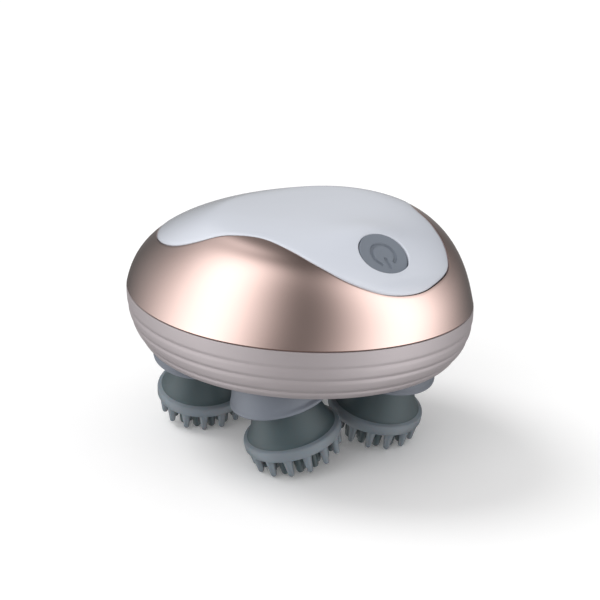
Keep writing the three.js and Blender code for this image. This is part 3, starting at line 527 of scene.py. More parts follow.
# %% Cover outline
COVER_NOSE_X, COVER_TAIL_X = 54.5, -44  # the line's two ends, on the middle line
COVER_SIDE = [
    (52.9, 8.4), (47.8, 15.6), (40, 20.4), (31, 23.4), (22.5, 25.9), (15, 30.2),
    (7, 34.9), (-3, 36.5), (-15, 34.5), (-26.5, 29.2), (-38.3, 18.4),
]
COVER_COLUMNS = 288
NOSE_SHIFT = 0.9  # the drawn line sits this much to the left at the button end
NOSE_SHIFT_FROM, NOSE_SHIFT_OVER = 8, 22
NOSE_WIDER = 2.1  # and on its left side it is this much wider still
LEFT_SIDE_FROM, LEFT_SIDE_OVER = 7, 10


def eased(value, start, over):
    """From 0 at a start to 1 a stretch further on, with a soft start and end."""
    share = np.clip((value - start) / over, 0, 1)
    return share * share * (3 - 2 * share)


corners = ([(COVER_NOSE_X, 0)] + COVER_SIDE + [(COVER_TAIL_X, 0)]
           + [(x, -y) for x, y in reversed(COVER_SIDE)])
cover_edge = spline(corners, COVER_COLUMNS)
wider = NOSE_WIDER * eased(cover_edge[:, 1], LEFT_SIDE_FROM, LEFT_SIDE_OVER)
cover_edge[:, 1] += eased(cover_edge[:, 0], NOSE_SHIFT_FROM, NOSE_SHIFT_OVER) * (NOSE_SHIFT + wider)
along_edge = np.roll(cover_edge, -1, axis=0) - np.roll(cover_edge, 1, axis=0)
along_edge /= np.linalg.norm(along_edge, axis=1)[:, None]
outward = np.stack([along_edge[:, 1], -along_edge[:, 0]], axis=1)
print("cover edge length in mm:",
      round(float(np.linalg.norm(np.diff(cover_edge, axis=0), axis=1).sum()), 1))

# %% [markdown]
# ## Points on the skin
#
# The pieces of the dome are drawn flat, as seen from above, and then put on its skin. A ring that
# belongs a little under or over the skin, such as one of a rolled edge, is moved along the skin's
# own slope, and the slope comes from the heights on both sides of a point.

# %% Points on the skin
SLOPE_REACH = 0.2  # to either side of a point


def on_skin(flat, height=0.0):
    """Points over flat places, lifted off the dome's skin along its own slope."""
    x, y = flat[:, 0], flat[:, 1]
    z = dome_height(x, y)
    fall_x = dome_height(x - SLOPE_REACH, y) - dome_height(x + SLOPE_REACH, y)
    fall_y = dome_height(x, y - SLOPE_REACH) - dome_height(x, y + SLOPE_REACH)
    upright = np.stack([fall_x, fall_y, np.full_like(z, 2 * SLOPE_REACH)], axis=1)
    upright /= np.linalg.norm(upright, axis=1)[:, None]
    return np.stack([x, y, z], axis=1) + upright * np.reshape(height, (-1, 1))


print("skin 1 mm above the crest, in mm:",
      round(float(on_skin(np.array([[CREST_X, 0.0]]), 1)[0, 2]), 2))

# %% [markdown]
# ## The upper shell
#
# The real shell is one moulding with a big opening, and its edge along the cover has a small
# radius that catches a thin line of light. Its columns run from the opening straight down the dome
# to the seam, so the metal's long reflections find no kink to break on.

# %% Upper shell
COVER_GAP = 0.1
SHELL_EDGE = [(0, -1.7), (0, -0.3), (0.02, -0.08), (0.09, -0.015), (0.5, 0)]  # outwards, height
SHELL_WALL = 2.2
SHELL_ROWS, WALL_ROWS = 44, 8
SEAM_HALF = 0.22  # half the width of the dark line between the shells
LIP_INSET, LIP_RISE = 0.3, 0.08  # the small slope at the shell's lower edge

shell_loops = [on_skin(cover_edge + outward * (COVER_GAP + grow), height)
               for grow, height in SHELL_EDGE]
edge_share, edge_angle = share_and_angle(*shell_loops[-1][:, :2].T)
seam_share = SEAM_HALF / DOME_RISE
for row in range(1, SHELL_ROWS + 1):
    share = edge_share + (seam_share - edge_share) * (row / SHELL_ROWS)
    shell_loops.append(dome_loop(edge_angle, share))
lip = dome_loop(edge_angle, np.full_like(edge_angle, seam_share), LIP_INSET)
lip[:, 2] = SEAM_Z + SEAM_HALF - LIP_RISE
shell_loops.append(lip)
for row in range(WALL_ROWS + 1):
    share = seam_share + (edge_share - seam_share) * (row / WALL_ROWS)
    shell_loops.append(dome_loop(edge_angle, share, SHELL_WALL))
steps = np.diff(np.unwrap(edge_angle))
print("columns keep their order:", bool((steps > 0).all() or (steps < 0).all()))
make_piece("rose_gold_shell", loft(shell_loops, closed=True), "housing", "rose_gold_shell",
           ["upper_shell"])

# %% [markdown]
# ## The button's place
#
# The button slides straight into the slope in front, and its joint in the record gives that
# direction. Its middle lies on the dome's skin at one X. From the two comes a frame whose axes
# point down the slope, across it and out of it, so the button can be drawn as if it lay flat.

# %% Button frame
BUTTON_X = 43.3
press = next(j for j in frame["joints"] if j["child"] == "button")
axis_out = -np.array(press["axis"], float)
axis_out /= np.linalg.norm(axis_out)
button_z = float(dome_height(np.array([BUTTON_X]), np.array([0.0]))[0])
across_slope = np.array([0.0, 1.0, 0.0])
down_slope = np.cross(across_slope, axis_out)
button_frame = (Matrix.Translation((BUTTON_X, 0, button_z))
                @ facing(down_slope, across_slope, axis_out))
print("button leans by", round(math.degrees(math.acos(axis_out[2])), 1), "degrees at height",
      round(button_z, 1))

# %% [markdown]
# ## The slope round the button
#
# Round the button the real cover leans forwards a few degrees more than the plain dome does. So
# the cover's skin is turned there about the button's middle. The change fades with distance, and
# it is gone before the cover's edge, which has to stay level with the shell.

# %% Slope round the button
SLANT, SLANT_MORE = 0.25, 0.06  # how much steeper the slope is made, and how much more above
SLANT_TURN = 5.0  # the stretch over which the steepness changes
SLANT_SPREAD = 12.0
NOSE_FADE_FROM, NOSE_FADE_OVER = 8.0, 4.2
SEARCH_ROUNDS = 12


def slant(down, across):
    """How far the skin is moved at a place in the button's frame, to lean the button forwards."""
    steeper = SLANT - SLANT_MORE * np.tanh(down / SLANT_TURN)
    moved_by = -steeper * down * np.exp(-(down ** 2 + across ** 2) / SLANT_SPREAD ** 2)
    return moved_by * (1 - eased(down, NOSE_FADE_FROM, NOSE_FADE_OVER))


def ring(radius, angles, height=0.0):
    """Points on a circle round the Z axis, at given angles."""
    x, y = radius * np.cos(angles), radius * np.sin(angles)
    return np.stack([x, y, height + 0 * x], axis=1)


def skin_in_button_frame(radius, angles):
    """Heights of the cover's skin over a circle in the button's frame."""
    height = np.zeros_like(angles)
    for _ in range(SEARCH_ROUNDS):
        place = moved(ring(radius, angles, height), button_frame)
        height = height + (dome_height(place[:, 0], place[:, 1]) - place[:, 2]) * axis_out[2]
    return height + slant(radius * np.cos(angles), radius * np.sin(angles))


def on_cover(flat, height=0.0):
    """Points of the cover's skin, which leans more under the button."""
    down = (flat[:, 0] - BUTTON_X) / axis_out[2]
    return on_skin(flat, height + slant(down, flat[:, 1]))


print("skin moved 5 mm above and below the button's middle:",
      np.round(slant(np.array([-5.0, 5.0]), 0), 2))

# %% [markdown]
# ## The top cover
#
# The glossy cover is drawn as rings that start at the button's hole and spread until they become
# the cover's own outline. That puts a clean round edge at the hole and another along the shell
# without any cutting, and the gloss stays free of dents. Both edges are rolled over by rings set
# close together.

# %% Top cover
BUTTON_RADIUS, BUTTON_GAP = 6.9, 0.2
COVER_ROWS, UNDER_ROWS = 84, 8
HOLE_EVENNESS = 0.35  # 1 spaces the columns evenly round the hole, 0 follows the outline's way
HOLE_ROLL = 0.35
HOLE_DEPTHS = [4.0, 1.2]
EDGE_ROLL = [  # inwards, height
    (1.6, 0.08), (0.9, 0.08), (0.45, 0.04), (0.18, -0.07), (0.04, -0.24), (0.0, -0.5), (0.0, -2.0),
]
UNDER_EDGE = [(2.5, -2.4), (3.0, -3.6)]
hole = BUTTON_RADIUS + BUTTON_GAP
from_button = cover_edge - np.array([BUTTON_X, 0])
outline_angle = np.arctan2(from_button[:, 1], from_button[:, 0]) % (2 * math.pi)


def whole_turn(count):
    """Evenly spaced angles once round."""
    return np.linspace(0, 2 * math.pi, count, endpoint=False)


hole_angle = whole_turn(COVER_COLUMNS) * HOLE_EVENNESS + outline_angle * (1 - HOLE_EVENNESS)


def hole_loop(radius, drop):
    """A ring round the button, below the skin by a drop."""
    height = skin_in_button_frame(radius, hole_angle)
    return moved(ring(radius, hole_angle, height - drop), button_frame)


def quarter_round(radius, shares):
    """Steps along a quarter circle: how far it has gone one way, and has left to go the other."""
    turns = [share * math.pi / 2 for share in shares]
    return [(radius * (1 - math.cos(turn)), radius * (1 - math.sin(turn))) for turn in turns]


cover_loops = [hole_loop(hole, drop) for drop in HOLE_DEPTHS]
cover_loops += [hole_loop(hole + gone, left)
                for gone, left in quarter_round(HOLE_ROLL, (0, 0.25, 0.5, 0.75, 1))]
hole_start = cover_loops[-1][:, :2]
roll_inset, roll_height = EDGE_ROLL[0]
roll_start = cover_edge - outward * roll_inset
for row in range(1, COVER_ROWS):
    share = row / COVER_ROWS
    flat = hole_start + (roll_start - hole_start) * share
    cover_loops.append(on_cover(flat, roll_height * share ** 2))
cover_loops += [on_cover(cover_edge - outward * inset, height) for inset, height in EDGE_ROLL]
cover_loops += [on_skin(cover_edge - outward * inset, height) for inset, height in UNDER_EDGE]
under_edge, under_hole = cover_loops[-1], cover_loops[0]
for row in range(1, UNDER_ROWS):
    cover_loops.append(under_edge + (under_hole - under_edge) * (row / UNDER_ROWS))
make_piece("gloss_top_cover", loft(cover_loops, closed=True), "housing", "gloss_cover",
           ["top_cover"])

# %% [markdown]
# ## The power symbol
#
# A power symbol is sunk into the cap: a ring that is open towards the front, and a short bar in
# the opening. It is shaped in the mesh, point by point, by how far each point lies from the ring
# or the bar. That needs a fine mesh but gives true shadows in the groove.

# %% Power symbol
SYMBOL_RADIUS, SYMBOL_HALF_LINE, SYMBOL_DEPTH = 3.4, 0.34, 0.5
SYMBOL_SLOPE = 0.6  # width of a groove's sloping side, in half lines
SYMBOL_OPENING = math.radians(38)  # half of the ring's opening
BAR_FROM, BAR_TO = 1.3, 4.0


def engraving(x, y):
    """Depth of the symbol at places on the cap, 0 off the lines."""
    angle, reach = np.abs(np.arctan2(y, x)), np.hypot(x, y)
    end_x = SYMBOL_RADIUS * math.cos(SYMBOL_OPENING)
    end_y = SYMBOL_RADIUS * math.sin(SYMBOL_OPENING)
    to_ring = np.where(angle > SYMBOL_OPENING, np.abs(reach - SYMBOL_RADIUS),
                       np.hypot(x - end_x, np.abs(y) - end_y))
    to_bar = np.hypot(x - np.clip(x, BAR_FROM, BAR_TO), y)
    near = np.minimum(to_ring, to_bar) / SYMBOL_HALF_LINE
    return SYMBOL_DEPTH * np.clip(1 + SYMBOL_SLOPE - near, 0, SYMBOL_SLOPE) / SYMBOL_SLOPE


print("depth in the middle of the bar:", float(engraving(np.array([2.0]), np.array([0.0]))[0]))

# %% [markdown]
# ## The power button
#
# The real cap is a disc with a slightly dished face and a small round at its rim. Its rim follows
# the cover's curved skin all round, a little below it, so the rim's height is split into a level,
# a lean and a rest. The face takes the level and the lean, and the rest comes in towards the rim.

# %% Power button
BUTTON_SINK = 0.3
BUTTON_LEAN = 0.08  # the cap's face leans a little more than the cover round it
BUTTON_DISH = 0.15
BUTTON_ROLL = 0.35
BUTTON_SKIRT = 3.6
BUTTON_COLUMNS = 240
CAP_START, CAP_STEP = 0.1, 0.11  # the first ring, and the steps to the next ones

cap_angles = whole_turn(BUTTON_COLUMNS)
cap_tilt = -BUTTON_LEAN * BUTTON_RADIUS * np.cos(cap_angles)
rim_height = skin_in_button_frame(BUTTON_RADIUS, cap_angles) - BUTTON_SINK + cap_tilt
rim_middle = rim_height.mean()
rim_lean = (rim_height * np.cos(cap_angles)).mean() * 2 / BUTTON_RADIUS
rim_rest = rim_height - rim_middle - rim_lean * BUTTON_RADIUS * np.cos(cap_angles)


def cap_height(radius):
    """Heights of the cap's face on a circle: flat, slightly dished, meeting its rim."""
    share = (radius / BUTTON_RADIUS) ** 2
    return (rim_middle + rim_lean * radius * np.cos(cap_angles) + rim_rest * share
            - BUTTON_DISH * (1 - share))


cap_loops = []
face_radius = BUTTON_RADIUS - BUTTON_ROLL
for radius in np.r_[np.arange(CAP_START, face_radius, CAP_STEP), face_radius]:
    loop = ring(radius, cap_angles, cap_height(radius))
    loop[:, 2] -= engraving(loop[:, 0], loop[:, 1])
    cap_loops.append(loop)
for gone, left in quarter_round(BUTTON_ROLL, (0.33, 0.66, 1)):
    radius = BUTTON_RADIUS - left
    cap_loops.append(ring(radius, cap_angles, cap_height(radius) - gone))
cap_loops.append(ring(BUTTON_RADIUS, cap_angles, -BUTTON_SKIRT))
cap_points, cap_faces = loft(cap_loops, cap_start=True, cap_end=True)
make_piece("power_button_cap", (moved(cap_points, button_frame), cap_faces), "button",
           "button_grey", ["power_button"])

# %% [markdown]
# ## The seam
#
# A dark elastic gasket is squeezed between the two shells and shows as a thin line. It follows the
# base's outline, which is one formula for every level below the seam, and its section is a small
# closed form just inside that outline.

# %% Gasket
BASE_BOTTOM_Z = 28.3
BASE_HALF_LENGTH, BASE_HALF_WIDTH, BASE_CURVE = 50.5, 40.9, 2.67
BASE_COLUMNS = 224
GASKET_SECTION = [  # inwards, above the seam's middle
    (0.9, 0.21), (0.42, 0.2), (0.3, 0.08), (0.3, -0.08), (0.42, -0.2), (0.9, -0.21), (2.0, -0.2),
    (2.0, 0.2),
]
base_depth = SEAM_Z - BASE_BOTTOM_Z
base_angles = whole_turn(BASE_COLUMNS)


def base_loop(drop, inset, height=None):
    """The base's outline at a drop below the seam, moved in by an inset."""
    share = min(max(drop / base_depth, 0), 1) ** BASE_CURVE
    half_length = HALF_LENGTH - (HALF_LENGTH - BASE_HALF_LENGTH) * share - inset
    half_width = HALF_WIDTH - (HALF_WIDTH - BASE_HALF_WIDTH) * share - inset
    x = half_length * np.cos(base_angles)
    y = half_width * np.sin(base_angles) * (1 + EGG * np.cos(base_angles))
    return np.stack([x, y, np.full_like(x, SEAM_Z - drop if height is None else height)], axis=1)


gasket_loops = [base_loop(0, inset, SEAM_Z + rise) for inset, rise in GASKET_SECTION]
make_piece("seam_gasket_band", loft(gasket_loops, closed=True), "housing", "seam_gasket",
           ["seam_gasket"])

# %% [markdown]
# ## The base
#
# The base is one shallow bowl with three soft grooves round it. Its section is a list of drops
# below the seam, and a groove is a smooth dip in the outline where a drop comes near the groove's
# own. The loops stand close together, so that the dips shade softly and don't look like steps.

# %% Base
GROOVE_DROPS = [5, 8.7, 12.9]
GROOVE_DEPTH, GROOVE_HALF = 0.34, 0.9
BASE_LIP = 0.15  # the small slope at the base's upper edge
BASE_STEP = 0.14
BASE_ROLL = 1.0
BOTTOM_INSET = 3.0
FLOOR_THICKNESS, INSIDE_FROM = 2.4, 2


def groove_inset(drop):
    """How far the grooves cut in at a drop: a bell curve that is nearly gone at GROOVE_HALF."""
    return sum(GROOVE_DEPTH * math.exp(-2 * ((drop - at) / GROOVE_HALF) ** 2)
               for at in GROOVE_DROPS)


base_loops = [base_loop(SEAM_HALF, SHELL_WALL), base_loop(SEAM_HALF, BASE_LIP)]
base_loops += [base_loop(drop, groove_inset(drop))
               for drop in np.arange(SEAM_HALF + BASE_LIP, base_depth - BASE_ROLL, BASE_STEP)]
base_loops += [base_loop(base_depth - left, gone)
               for gone, left in quarter_round(BASE_ROLL, np.linspace(0, 1, 7))]
base_loops.append(base_loop(base_depth, BOTTOM_INSET))
inside_drops = np.linspace(INSIDE_FROM, base_depth - FLOOR_THICKNESS, 6)
inside_points, inside_faces = loft(
    [base_loops[0]] + [base_loop(drop, SHELL_WALL) for drop in inside_drops], cap_end=True)
silver_base = make_piece(
    "silver_base_shell",
    joined([loft(base_loops, cap_end=True), (inside_points, [f[::-1] for f in inside_faces])]),
    "housing", "silver_base", ["lower_shell"], sharp_deg=50)

# %% [markdown]
# ## Holes in the base
#
# The underside has a hole for each head's shaft, a deep sink for each case screw, and the window
# for the charging contacts at the rear. They are cut with a Boolean modifier, which is applied at
# once, because these edges are small and square and a loft would need a seam through each of them.

# %% Holes
HEAD_X, HEAD_Y = 21.1, 17.6
POST_Y = 34.4
SHAFT_HOLE_RADIUS, SCREW_SINK_RADIUS = 5.4, 2.6
CUT_BELOW, CUT_ABOVE = 2, 4  # how far a cutter reaches past the base's bottom
CONTACT_GAP, WINDOW_OUTSIDE, WINDOW_INSIDE = 0.3, 4, 1


def cut(piece, cutter_points, cutter_faces):
    """Takes a closed form out of a piece for good."""
    cutter = in_scene("cutter", formed_mesh("cutter", cutter_points, cutter_faces))
    tool = piece.modifiers.new("cut", "BOOLEAN")
    tool.operation = "DIFFERENCE"
    tool.object = cutter
    tool.solver = "EXACT"
    graph = bpy.context.evaluated_depsgraph_get()
    result = bpy.data.meshes.new_from_object(piece.evaluated_get(graph))
    piece.modifiers.remove(tool)
    piece.data = result
    bpy.data.objects.remove(cutter)


def circle(radius, height, count=48):
    """A level circle of evenly spaced points round the Z axis."""
    return ring(radius, whole_turn(count), height)


def drum(radius, x, y):
    """A closed upright cylinder, for cutting through the base's bottom."""
    low, high = BASE_BOTTOM_Z - CUT_BELOW, BASE_BOTTOM_Z + CUT_ABOVE
    points, faces = loft([circle(radius, low), circle(radius, high)], cap_start=True, cap_end=True)
    return [(p[0] + x, p[1] + y, p[2]) for p in points], faces


holes = [drum(SHAFT_HOLE_RADIUS, x * HEAD_X, y * HEAD_Y) for x in (-1, 1) for y in (-1, 1)]
holes += [drum(SCREW_SINK_RADIUS, 0, side * POST_Y) for side in (-1, 1)]
pad_low, pad_high = (np.array(corner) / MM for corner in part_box("charge_contact_block"))
window = [pad_low - [WINDOW_OUTSIDE, CONTACT_GAP, CONTACT_GAP],
          pad_high + [WINDOW_INSIDE, CONTACT_GAP, CONTACT_GAP]]
window_corners = [(0, 0), (1, 0), (1, 1), (0, 1)]
window_loops = [np.array([(window[i][0], window[j][1], window[k][2]) for j, k in window_corners])
                for i in (0, 1)]
holes.append(loft(window_loops, cap_start=True, cap_end=True))
for points, faces in holes:
    cut(silver_base, points, faces)
print("base after the cuts:", len(silver_base.data.polygons), "faces")

# %% [markdown]
# ## Where the heads stand
#
# Each head hangs from a disc that is thicker on one side, so the head leans, and as the disc turns
# the lean travels round: that is the kneading motion. A disc's height follows from the rest: a
# leaning head's lowest finger has to touch the table. Each head gets a frame on its shaft's axis,
# turned the way its disc stands at rest.

# %% Frames of the heads
TILT = math.radians(15)
DISC_TOP_Z = 27.8
HEAD_GAP, HEAD_DROP = 0.4, 12.9
PRONG_LENGTH, PRONG_CIRCLE = 5.6, 12
PRONG_ROOT_RADIUS, PRONG_TIP_RADIUS = 1.45, 0.85
HEADS = {  # side in X, side in Y, and the way that the disc's thick side points, in degrees
    "front_right": (1, -1, -95), "front_left": (1, 1, 12),
    "rear_right": (-1, -1, -32), "rear_left": (-1, 1, 120),
}
head_height = (HEAD_GAP + HEAD_DROP + PRONG_LENGTH) * math.cos(TILT)
tip_reach = PRONG_CIRCLE + PRONG_TIP_RADIUS
disc_height = DISC_TOP_Z - head_height - tip_reach * math.sin(TILT)
lower_tilt = Matrix.Translation((0, 0, -disc_height)) @ Matrix.Rotation(TILT, 4, "Y")
print("disc height on its axis in mm:", round(disc_height, 2))


def disc_frame(name):
    """The upright frame on a shaft's axis at the disc's top."""
    x, y, thick_side = HEADS[name]
    return (Matrix.Translation((x * HEAD_X, y * HEAD_Y, DISC_TOP_Z))
            @ Matrix.Rotation(math.radians(thick_side), 4, "Z"))


# %% [markdown]
# ## The wedge discs
#
# A disc's upper loops are level and its lower loops lie on the leaning plane, so the loft between
# them makes the wedge by itself. The real disc has a slightly wider lip low on its side, whose
# soft edges catch the light.

# %% Wedge discs
DISC_RADIUS, DISC_LIP_RADIUS, DISC_LIP_HEIGHT = 13.9, 14.7, 1.5
DISC_RAISE = 0.8  # the lower face sits this much higher than in the drive, and so does the neck
SHAFT_RADIUS, SHAFT_TOP, LOWER_HOLE_RADIUS = 3.0, 8.0, 6.0
HEAD_COLUMNS = 96
DISC_TOP_SECTION = [  # radius, height
    (SHAFT_RADIUS, SHAFT_TOP), (SHAFT_RADIUS, 0), (DISC_RADIUS - 0.7, 0),
    (DISC_RADIUS - 0.34, -0.09), (DISC_RADIUS - 0.09, -0.34), (DISC_RADIUS, -0.7),
]
DISC_LIP_SECTION = [
    (DISC_RADIUS + 0.02, DISC_LIP_HEIGHT + 0.9), (DISC_RADIUS + 0.1, DISC_LIP_HEIGHT + 0.4),
    (DISC_RADIUS + 0.3, DISC_LIP_HEIGHT), (DISC_LIP_RADIUS - 0.22, DISC_LIP_HEIGHT - 0.3),
    (DISC_LIP_RADIUS - 0.06, DISC_LIP_HEIGHT - 0.6), (DISC_LIP_RADIUS, 0.6),
    (DISC_LIP_RADIUS - 0.05, 0.3), (DISC_LIP_RADIUS - 0.3, 0.04), (LOWER_HOLE_RADIUS, 0),
]
level_loops = [circle(radius, height, HEAD_COLUMNS) for radius, height in DISC_TOP_SECTION]
leaning_loops = [moved(circle(radius, height + DISC_RAISE, HEAD_COLUMNS), lower_tilt)
                 for radius, height in DISC_LIP_SECTION]
disc_points, disc_faces = loft(level_loops + leaning_loops, cap_start=True, cap_end=True)
for name in HEADS:
    make_piece(f"swash_disc_{name}", (moved(disc_points, disc_frame(name)), disc_faces),
               f"disc_{name}", "disc_grey", [f"wedge_disc_{name}"])

# %% [markdown]
# ## The bell of a silicone head
#
# A head is a soft bell that widens from its neck to a thick rim. It is turned, as its mould was,
# so it needs only a section: a list of radii and heights that runs from the cup round the rim and
# up the outside to the neck.

# %% Bell
NECK_RADIUS, BELL_RADIUS, HUB_HOLE_RADIUS = 8.6, 12.4, 5.3
RIM_RADIUS, RIM_HEIGHT, RIM_SLOPE = 13.9, 3.0, 0.4
CUP_DEPTH = 2.2
BELL_ROWS = 22
FOOT_IN, FOOT_UP = 0.3, 0.35  # where the bell's long curve starts, from its lower corner
RADIUS_CURVE, HEIGHT_CURVE = 0.85, 1.12
NECK_Z = DISC_RAISE - HEAD_GAP
RIM_LOW = -HEAD_GAP - HEAD_DROP
RIM_HIGH = RIM_LOW + RIM_HEIGHT
BELL_LOW = RIM_HIGH + RIM_SLOPE
bell_section = [
    (HUB_HOLE_RADIUS, RIM_LOW + CUP_DEPTH), (RIM_RADIUS - 2.4, RIM_LOW + CUP_DEPTH),
    (RIM_RADIUS - 2.0, RIM_LOW + 0.3), (RIM_RADIUS - 1.7, RIM_LOW), (RIM_RADIUS - 0.5, RIM_LOW),
    (RIM_RADIUS - 0.15, RIM_LOW + 0.15), (RIM_RADIUS, RIM_LOW + 0.5),
    (RIM_RADIUS - 0.05, RIM_HIGH - 0.7), (RIM_RADIUS - 0.2, RIM_HIGH - 0.25),
    (RIM_RADIUS - 0.5, RIM_HIGH), (BELL_RADIUS + 0.2, BELL_LOW - 0.15),
    (BELL_RADIUS - 0.1, BELL_LOW + 0.05),
]
foot_radius, foot_z = BELL_RADIUS - FOOT_IN, BELL_LOW + FOOT_UP
for share in np.linspace(0, 1, BELL_ROWS):
    bell_section.append((foot_radius - (foot_radius - NECK_RADIUS) * share ** RADIUS_CURVE,
                         foot_z + (NECK_Z - foot_z) * share ** HEIGHT_CURVE))
bell_section.append((HUB_HOLE_RADIUS, NECK_Z))
bell = loft([circle(radius, height, HEAD_COLUMNS) for radius, height in bell_section], closed=True)
print("bell height in mm:", round(NECK_Z - RIM_LOW, 1))

# %% [markdown]
# ## The fingers, and the whole head
#
# Under the rim stands a ring of slim fingers, and three more rings fill the cup. Seen from the
# side the inner ones make one dark mass, so they are fuller and a little longer. Each finger is a
# small turned form with a round tip. Silicone is moulded in one shot, so bell and fingers are one
# piece, and only the rim and the outer fingers take the paler finish.

# %% Silicone heads
FINGER_RINGS = [  # radius, count, root and tip radius, extra length
    (PRONG_CIRCLE, 14, PRONG_ROOT_RADIUS, PRONG_TIP_RADIUS, 0),
    (9.6, 14, 1.6, 1.1, 0.5), (7.3, 10, 1.5, 1.1, 1.0), (5.0, 6, 1.4, 1.0, 1.5),
]
FINGER_BITE = 0.8  # how far a root goes into the cup's roof
FINGER_COLUMNS = 14
RIM_INSIDE = 12.6  # faces further out than this are the pale rim's
FINGER_INSIDE = 11.2  # and further out than this the outer fingers'


def finger(root, tip, longer):
    """A soft finger: a tapered round form with a round tip, from inside the cup down."""
    tip_z = RIM_LOW - PRONG_LENGTH - longer
    taper = tip_z + tip - RIM_LOW
    section = [(root + 0.1, RIM_LOW + CUP_DEPTH + FINGER_BITE)]
    section += [(root + (tip - root) * share, RIM_LOW + taper * share) for share in (0, 0.35, 0.7)]
    section += [(tip - gone, tip_z + left)
                for gone, left in quarter_round(tip, np.linspace(0, 0.95, 6))]
    return loft([circle(radius, height, FINGER_COLUMNS) for radius, height in section],
                cap_start=True, cap_end=True)


head_parts = [bell]
for number, (radius, count, root, tip, longer) in enumerate(FINGER_RINGS):
    points, faces = finger(root, tip, longer)
    for i in range(count):
        angle = (i + number / 2) / count * 2 * math.pi  # each ring stands in the gaps of the last
        head_parts.append(([(x + radius * math.cos(angle), y + radius * math.sin(angle), z)
                            for x, y, z in points], faces))
head_points, head_faces = joined(head_parts)
for name in HEADS:
    head_frame = disc_frame(name) @ lower_tilt
    head = make_piece(f"silicone_head_{name}", (moved(head_points, head_frame), head_faces),
                      f"head_{name}", "silicone_head", [f"massage_head_{name}"])
    head.data.materials.append(rim_finish)
    to_head = head_frame.inverted()
    for polygon in head.data.polygons:
        place = to_head @ (polygon.center / MM)
        reach = math.hypot(place.x, place.y)
        on_rim = reach > RIM_INSIDE and RIM_LOW <= place.z < BELL_LOW - 0.1
        on_finger = reach > FINGER_INSIDE and place.z < RIM_LOW
        if on_rim or on_finger:
            polygon.material_index = 1

# %% [markdown]
# ## The table
#
# The object stands on a white laminate table that has no visible end. A real studio table is lit
# from behind until it is plain white, and a small glow does that here, only for what the camera
# sees. So it throws no light on the object, and the shadow on the table stays.

# %% Table
TABLE_SIDE = 8.0
TABLE_GLOW = 0.10
LAMINATE_GRAIN_MM = 3
WHITE = [1, 1, 1, 1]
half = TABLE_SIDE / 2
table_mesh = bpy.data.meshes.new("table_top")
table_mesh.from_pydata([(-half, -half, 0), (half, -half, 0), (half, half, 0), (-half, half, 0)], [],
                       [(0, 1, 2, 3)])
table = in_scene("table_top", table_mesh)
table.visible_glossy = False  # reflections look past the table at the lit studio
laminate, table_tree, table_output = new_finish("white_laminate")
grain = add(table_tree, "ShaderNodeTexNoise",
            {"Vector": add(table_tree, "ShaderNodeTexCoord").outputs["Object"],
             "Scale": grain_scale(LAMINATE_GRAIN_MM), "Detail": 2})
pale = add(table_tree, "ShaderNodeMix",
           {MIX_SHARE: grain.outputs["Fac"], MIX_A: linear("#fcfcfc"), MIX_B: linear("#fbfbfb")},
           data_type="RGBA")
board = add(table_tree, "ShaderNodeBsdfPrincipled",
            {"Base Color": pale.outputs[MIX_RESULT], "Roughness": 0.8, "Specular IOR Level": 0.2})
lift = add(table_tree, "ShaderNodeEmission", {"Color": WHITE, "Strength": TABLE_GLOW})
bright = add(table_tree, "ShaderNodeAddShader", {0: board.outputs[0], 1: lift.outputs[0]})
to_camera = add(table_tree, "ShaderNodeLightPath").outputs["Is Camera Ray"]
surface = add(table_tree, "ShaderNodeMixShader",
              {0: to_camera, 1: board.outputs[0], 2: bright.outputs[0]})
table_tree.links.new(surface.outputs[0], table_output.inputs["Surface"])
table_mesh.materials.append(laminate)
print("table side in m:", TABLE_SIDE)

# %% [markdown]
# ## Directions in the studio
#
# A photographer places lights by how far round they stand and how high. Here too a light is given
# by two angles, the first of them round to the right of the camera.

# %% Directions
level_back = np.array([back[0], back[1], 0]) / math.hypot(back[0], back[1])


def studio_direction(round_deg, height_deg):
    """A direction, by degrees round to the right of the camera and degrees above the table."""
    around, above = math.radians(round_deg), math.radians(height_deg)
    level_part = math.cos(around) * level_back + math.sin(around) * right
    return math.cos(above) * level_part + math.sin(above) * np.array([0, 0, 1])


print("level, from the object to the camera:", np.round(studio_direction(0, 0), 2))

# %% [markdown]
# ## The studio that the metal mirrors
#
# A metal dome shows only what it reflects, so its upright bright and dark bands are a picture of
# the soft boxes round it. The boxes are drawn into the world as soft spots, for reflections alone.
# Every direction is first pressed flat towards the level: that stretches each spot upwards, as
# tall boxes would look, and keeps the bands upright. A flag is a spot that takes light away.

# %% Studio
DARK_ROOM = 0.05
PRESSED_FLAT = 0.32
SOFT_BOXES = [  # round, height, strength, tightness
    (-81, 8, 2.3, 5.0), (62, 5, 2.25, 3.2), (-142, 27, 0.9, 25), (178, 7, 0.35, 30),
]
FLAGS = [(-17, 8, -0.35, 11)]
world = bpy.data.worlds.new("studio")
bpy.context.scene.world = world
world.use_nodes = True
studio = world.node_tree
studio.nodes.clear()
ways = add(studio, "ShaderNodeSeparateXYZ",
           {0: add(studio, "ShaderNodeTexCoord").outputs["Generated"]}).outputs
flat_z = add(studio, "ShaderNodeMath", {0: ways["Z"], 1: PRESSED_FLAT}, operation="MULTIPLY")
pressed = add(studio, "ShaderNodeCombineXYZ",
              {"X": ways["X"], "Y": ways["Y"], "Z": flat_z.outputs[0]})
mirrored_way = add(studio, "ShaderNodeVectorMath", {0: pressed.outputs[0]},
                   operation="NORMALIZE").outputs[0]


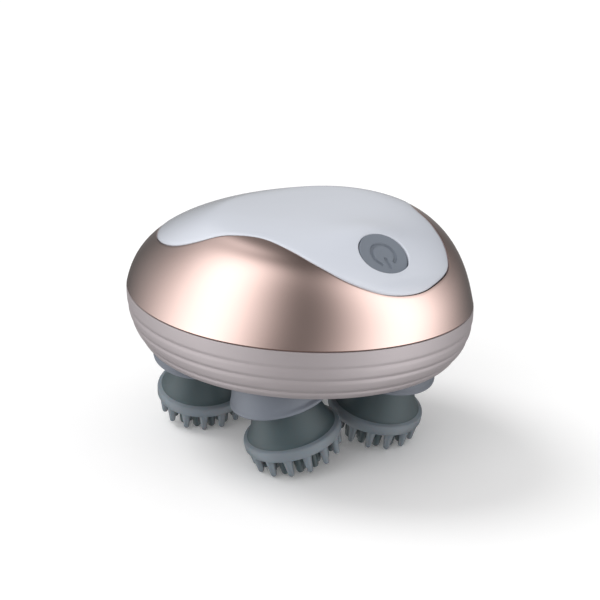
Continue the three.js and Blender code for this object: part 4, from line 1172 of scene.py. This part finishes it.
def with_spots(start, spots):
    """A start value plus soft spots: each is strongest at its middle and fades by its tightness."""
    total = start
    for around, above, strength, tightness in spots:
        aligned = add(studio, "ShaderNodeVectorMath",
                      {0: mirrored_way, 1: studio_direction(around, above)},
                      operation="DOT_PRODUCT").outputs["Value"]
        off = add(studio, "ShaderNodeMath", {0: aligned, 1: tightness, 2: -tightness},
                  operation="MULTIPLY_ADD").outputs[0]
        fade = add(studio, "ShaderNodeMath", {0: off}, operation="EXPONENT").outputs[0]
        spot = add(studio, "ShaderNodeMath", {0: fade, 1: strength}, operation="MULTIPLY")
        total = add(studio, "ShaderNodeMath", {0: spot.outputs[0], 1: total},
                    operation="ADD").outputs[0]
    return total


in_mirror = add(studio, "ShaderNodeMath",
                {0: with_spots(DARK_ROOM, SOFT_BOXES), 1: with_spots(1.0, FLAGS)},
                operation="MULTIPLY").outputs[0]
print("soft boxes:", len(SOFT_BOXES), "and flags:", len(FLAGS))

# %% [markdown]
# ## The sky and the backdrop
#
# The world answers three kinds of ray. A reflection finds the soft boxes, plain light finds an
# even sky, and the camera, also through anything clear, finds a white backdrop. That keeps the
# background white without more light on the object.

# %% Sky and backdrop
SKY = 0.6
sky, mirror, backdrop = (
    add(studio, "ShaderNodeBackground", {"Color": WHITE, "Strength": strength}).outputs[0]
    for strength in (SKY, in_mirror, 1.0))
rays = add(studio, "ShaderNodeLightPath").outputs
unseen = add(studio, "ShaderNodeMixShader", {0: rays["Is Glossy Ray"], 1: sky, 2: mirror})
seen = add(studio, "ShaderNodeMath",
           {0: rays["Is Camera Ray"], 1: rays["Is Transmission Ray"]}, operation="MAXIMUM")
whole = add(studio, "ShaderNodeMixShader",
            {0: seen.outputs[0], 1: unseen.outputs[0], 2: backdrop})
add(studio, "ShaderNodeOutputWorld", {"Surface": whole.outputs[0]})
bpy.context.scene.view_settings.view_transform = "Standard"
print("sky strength:", SKY)

# %% [markdown]
# ## The lamps
#
# A broad, soft key light from the left and above throws one gentle shadow to the right, and a
# softer fill light from near the camera brightens the cover. Both are suns, so they
# light all parts alike, and neither shows in reflections, where the soft boxes stand for them.

# %% Lamps
LAMPS = [  # name, energy, softness in degrees, round, height
    ("key", 1.1, 30, -112, 54),
    ("fill", 0.8, 50, -25, 32),
]
for name, energy, softness, around, above in LAMPS:
    lamp_data = bpy.data.lights.new(name, "SUN")
    lamp_data.energy = energy
    lamp_data.angle = math.radians(softness)
    lamp = in_scene(name, lamp_data)
    lamp.visible_glossy = False
    lamp_from = studio_direction(around, above)
    lamp_side = np.cross([0, 0, 1], lamp_from)
    lamp_side /= np.linalg.norm(lamp_side)
    lamp.matrix_world = facing(lamp_side, np.cross(lamp_from, lamp_side), lamp_from)
print("lamps:", len(LAMPS))
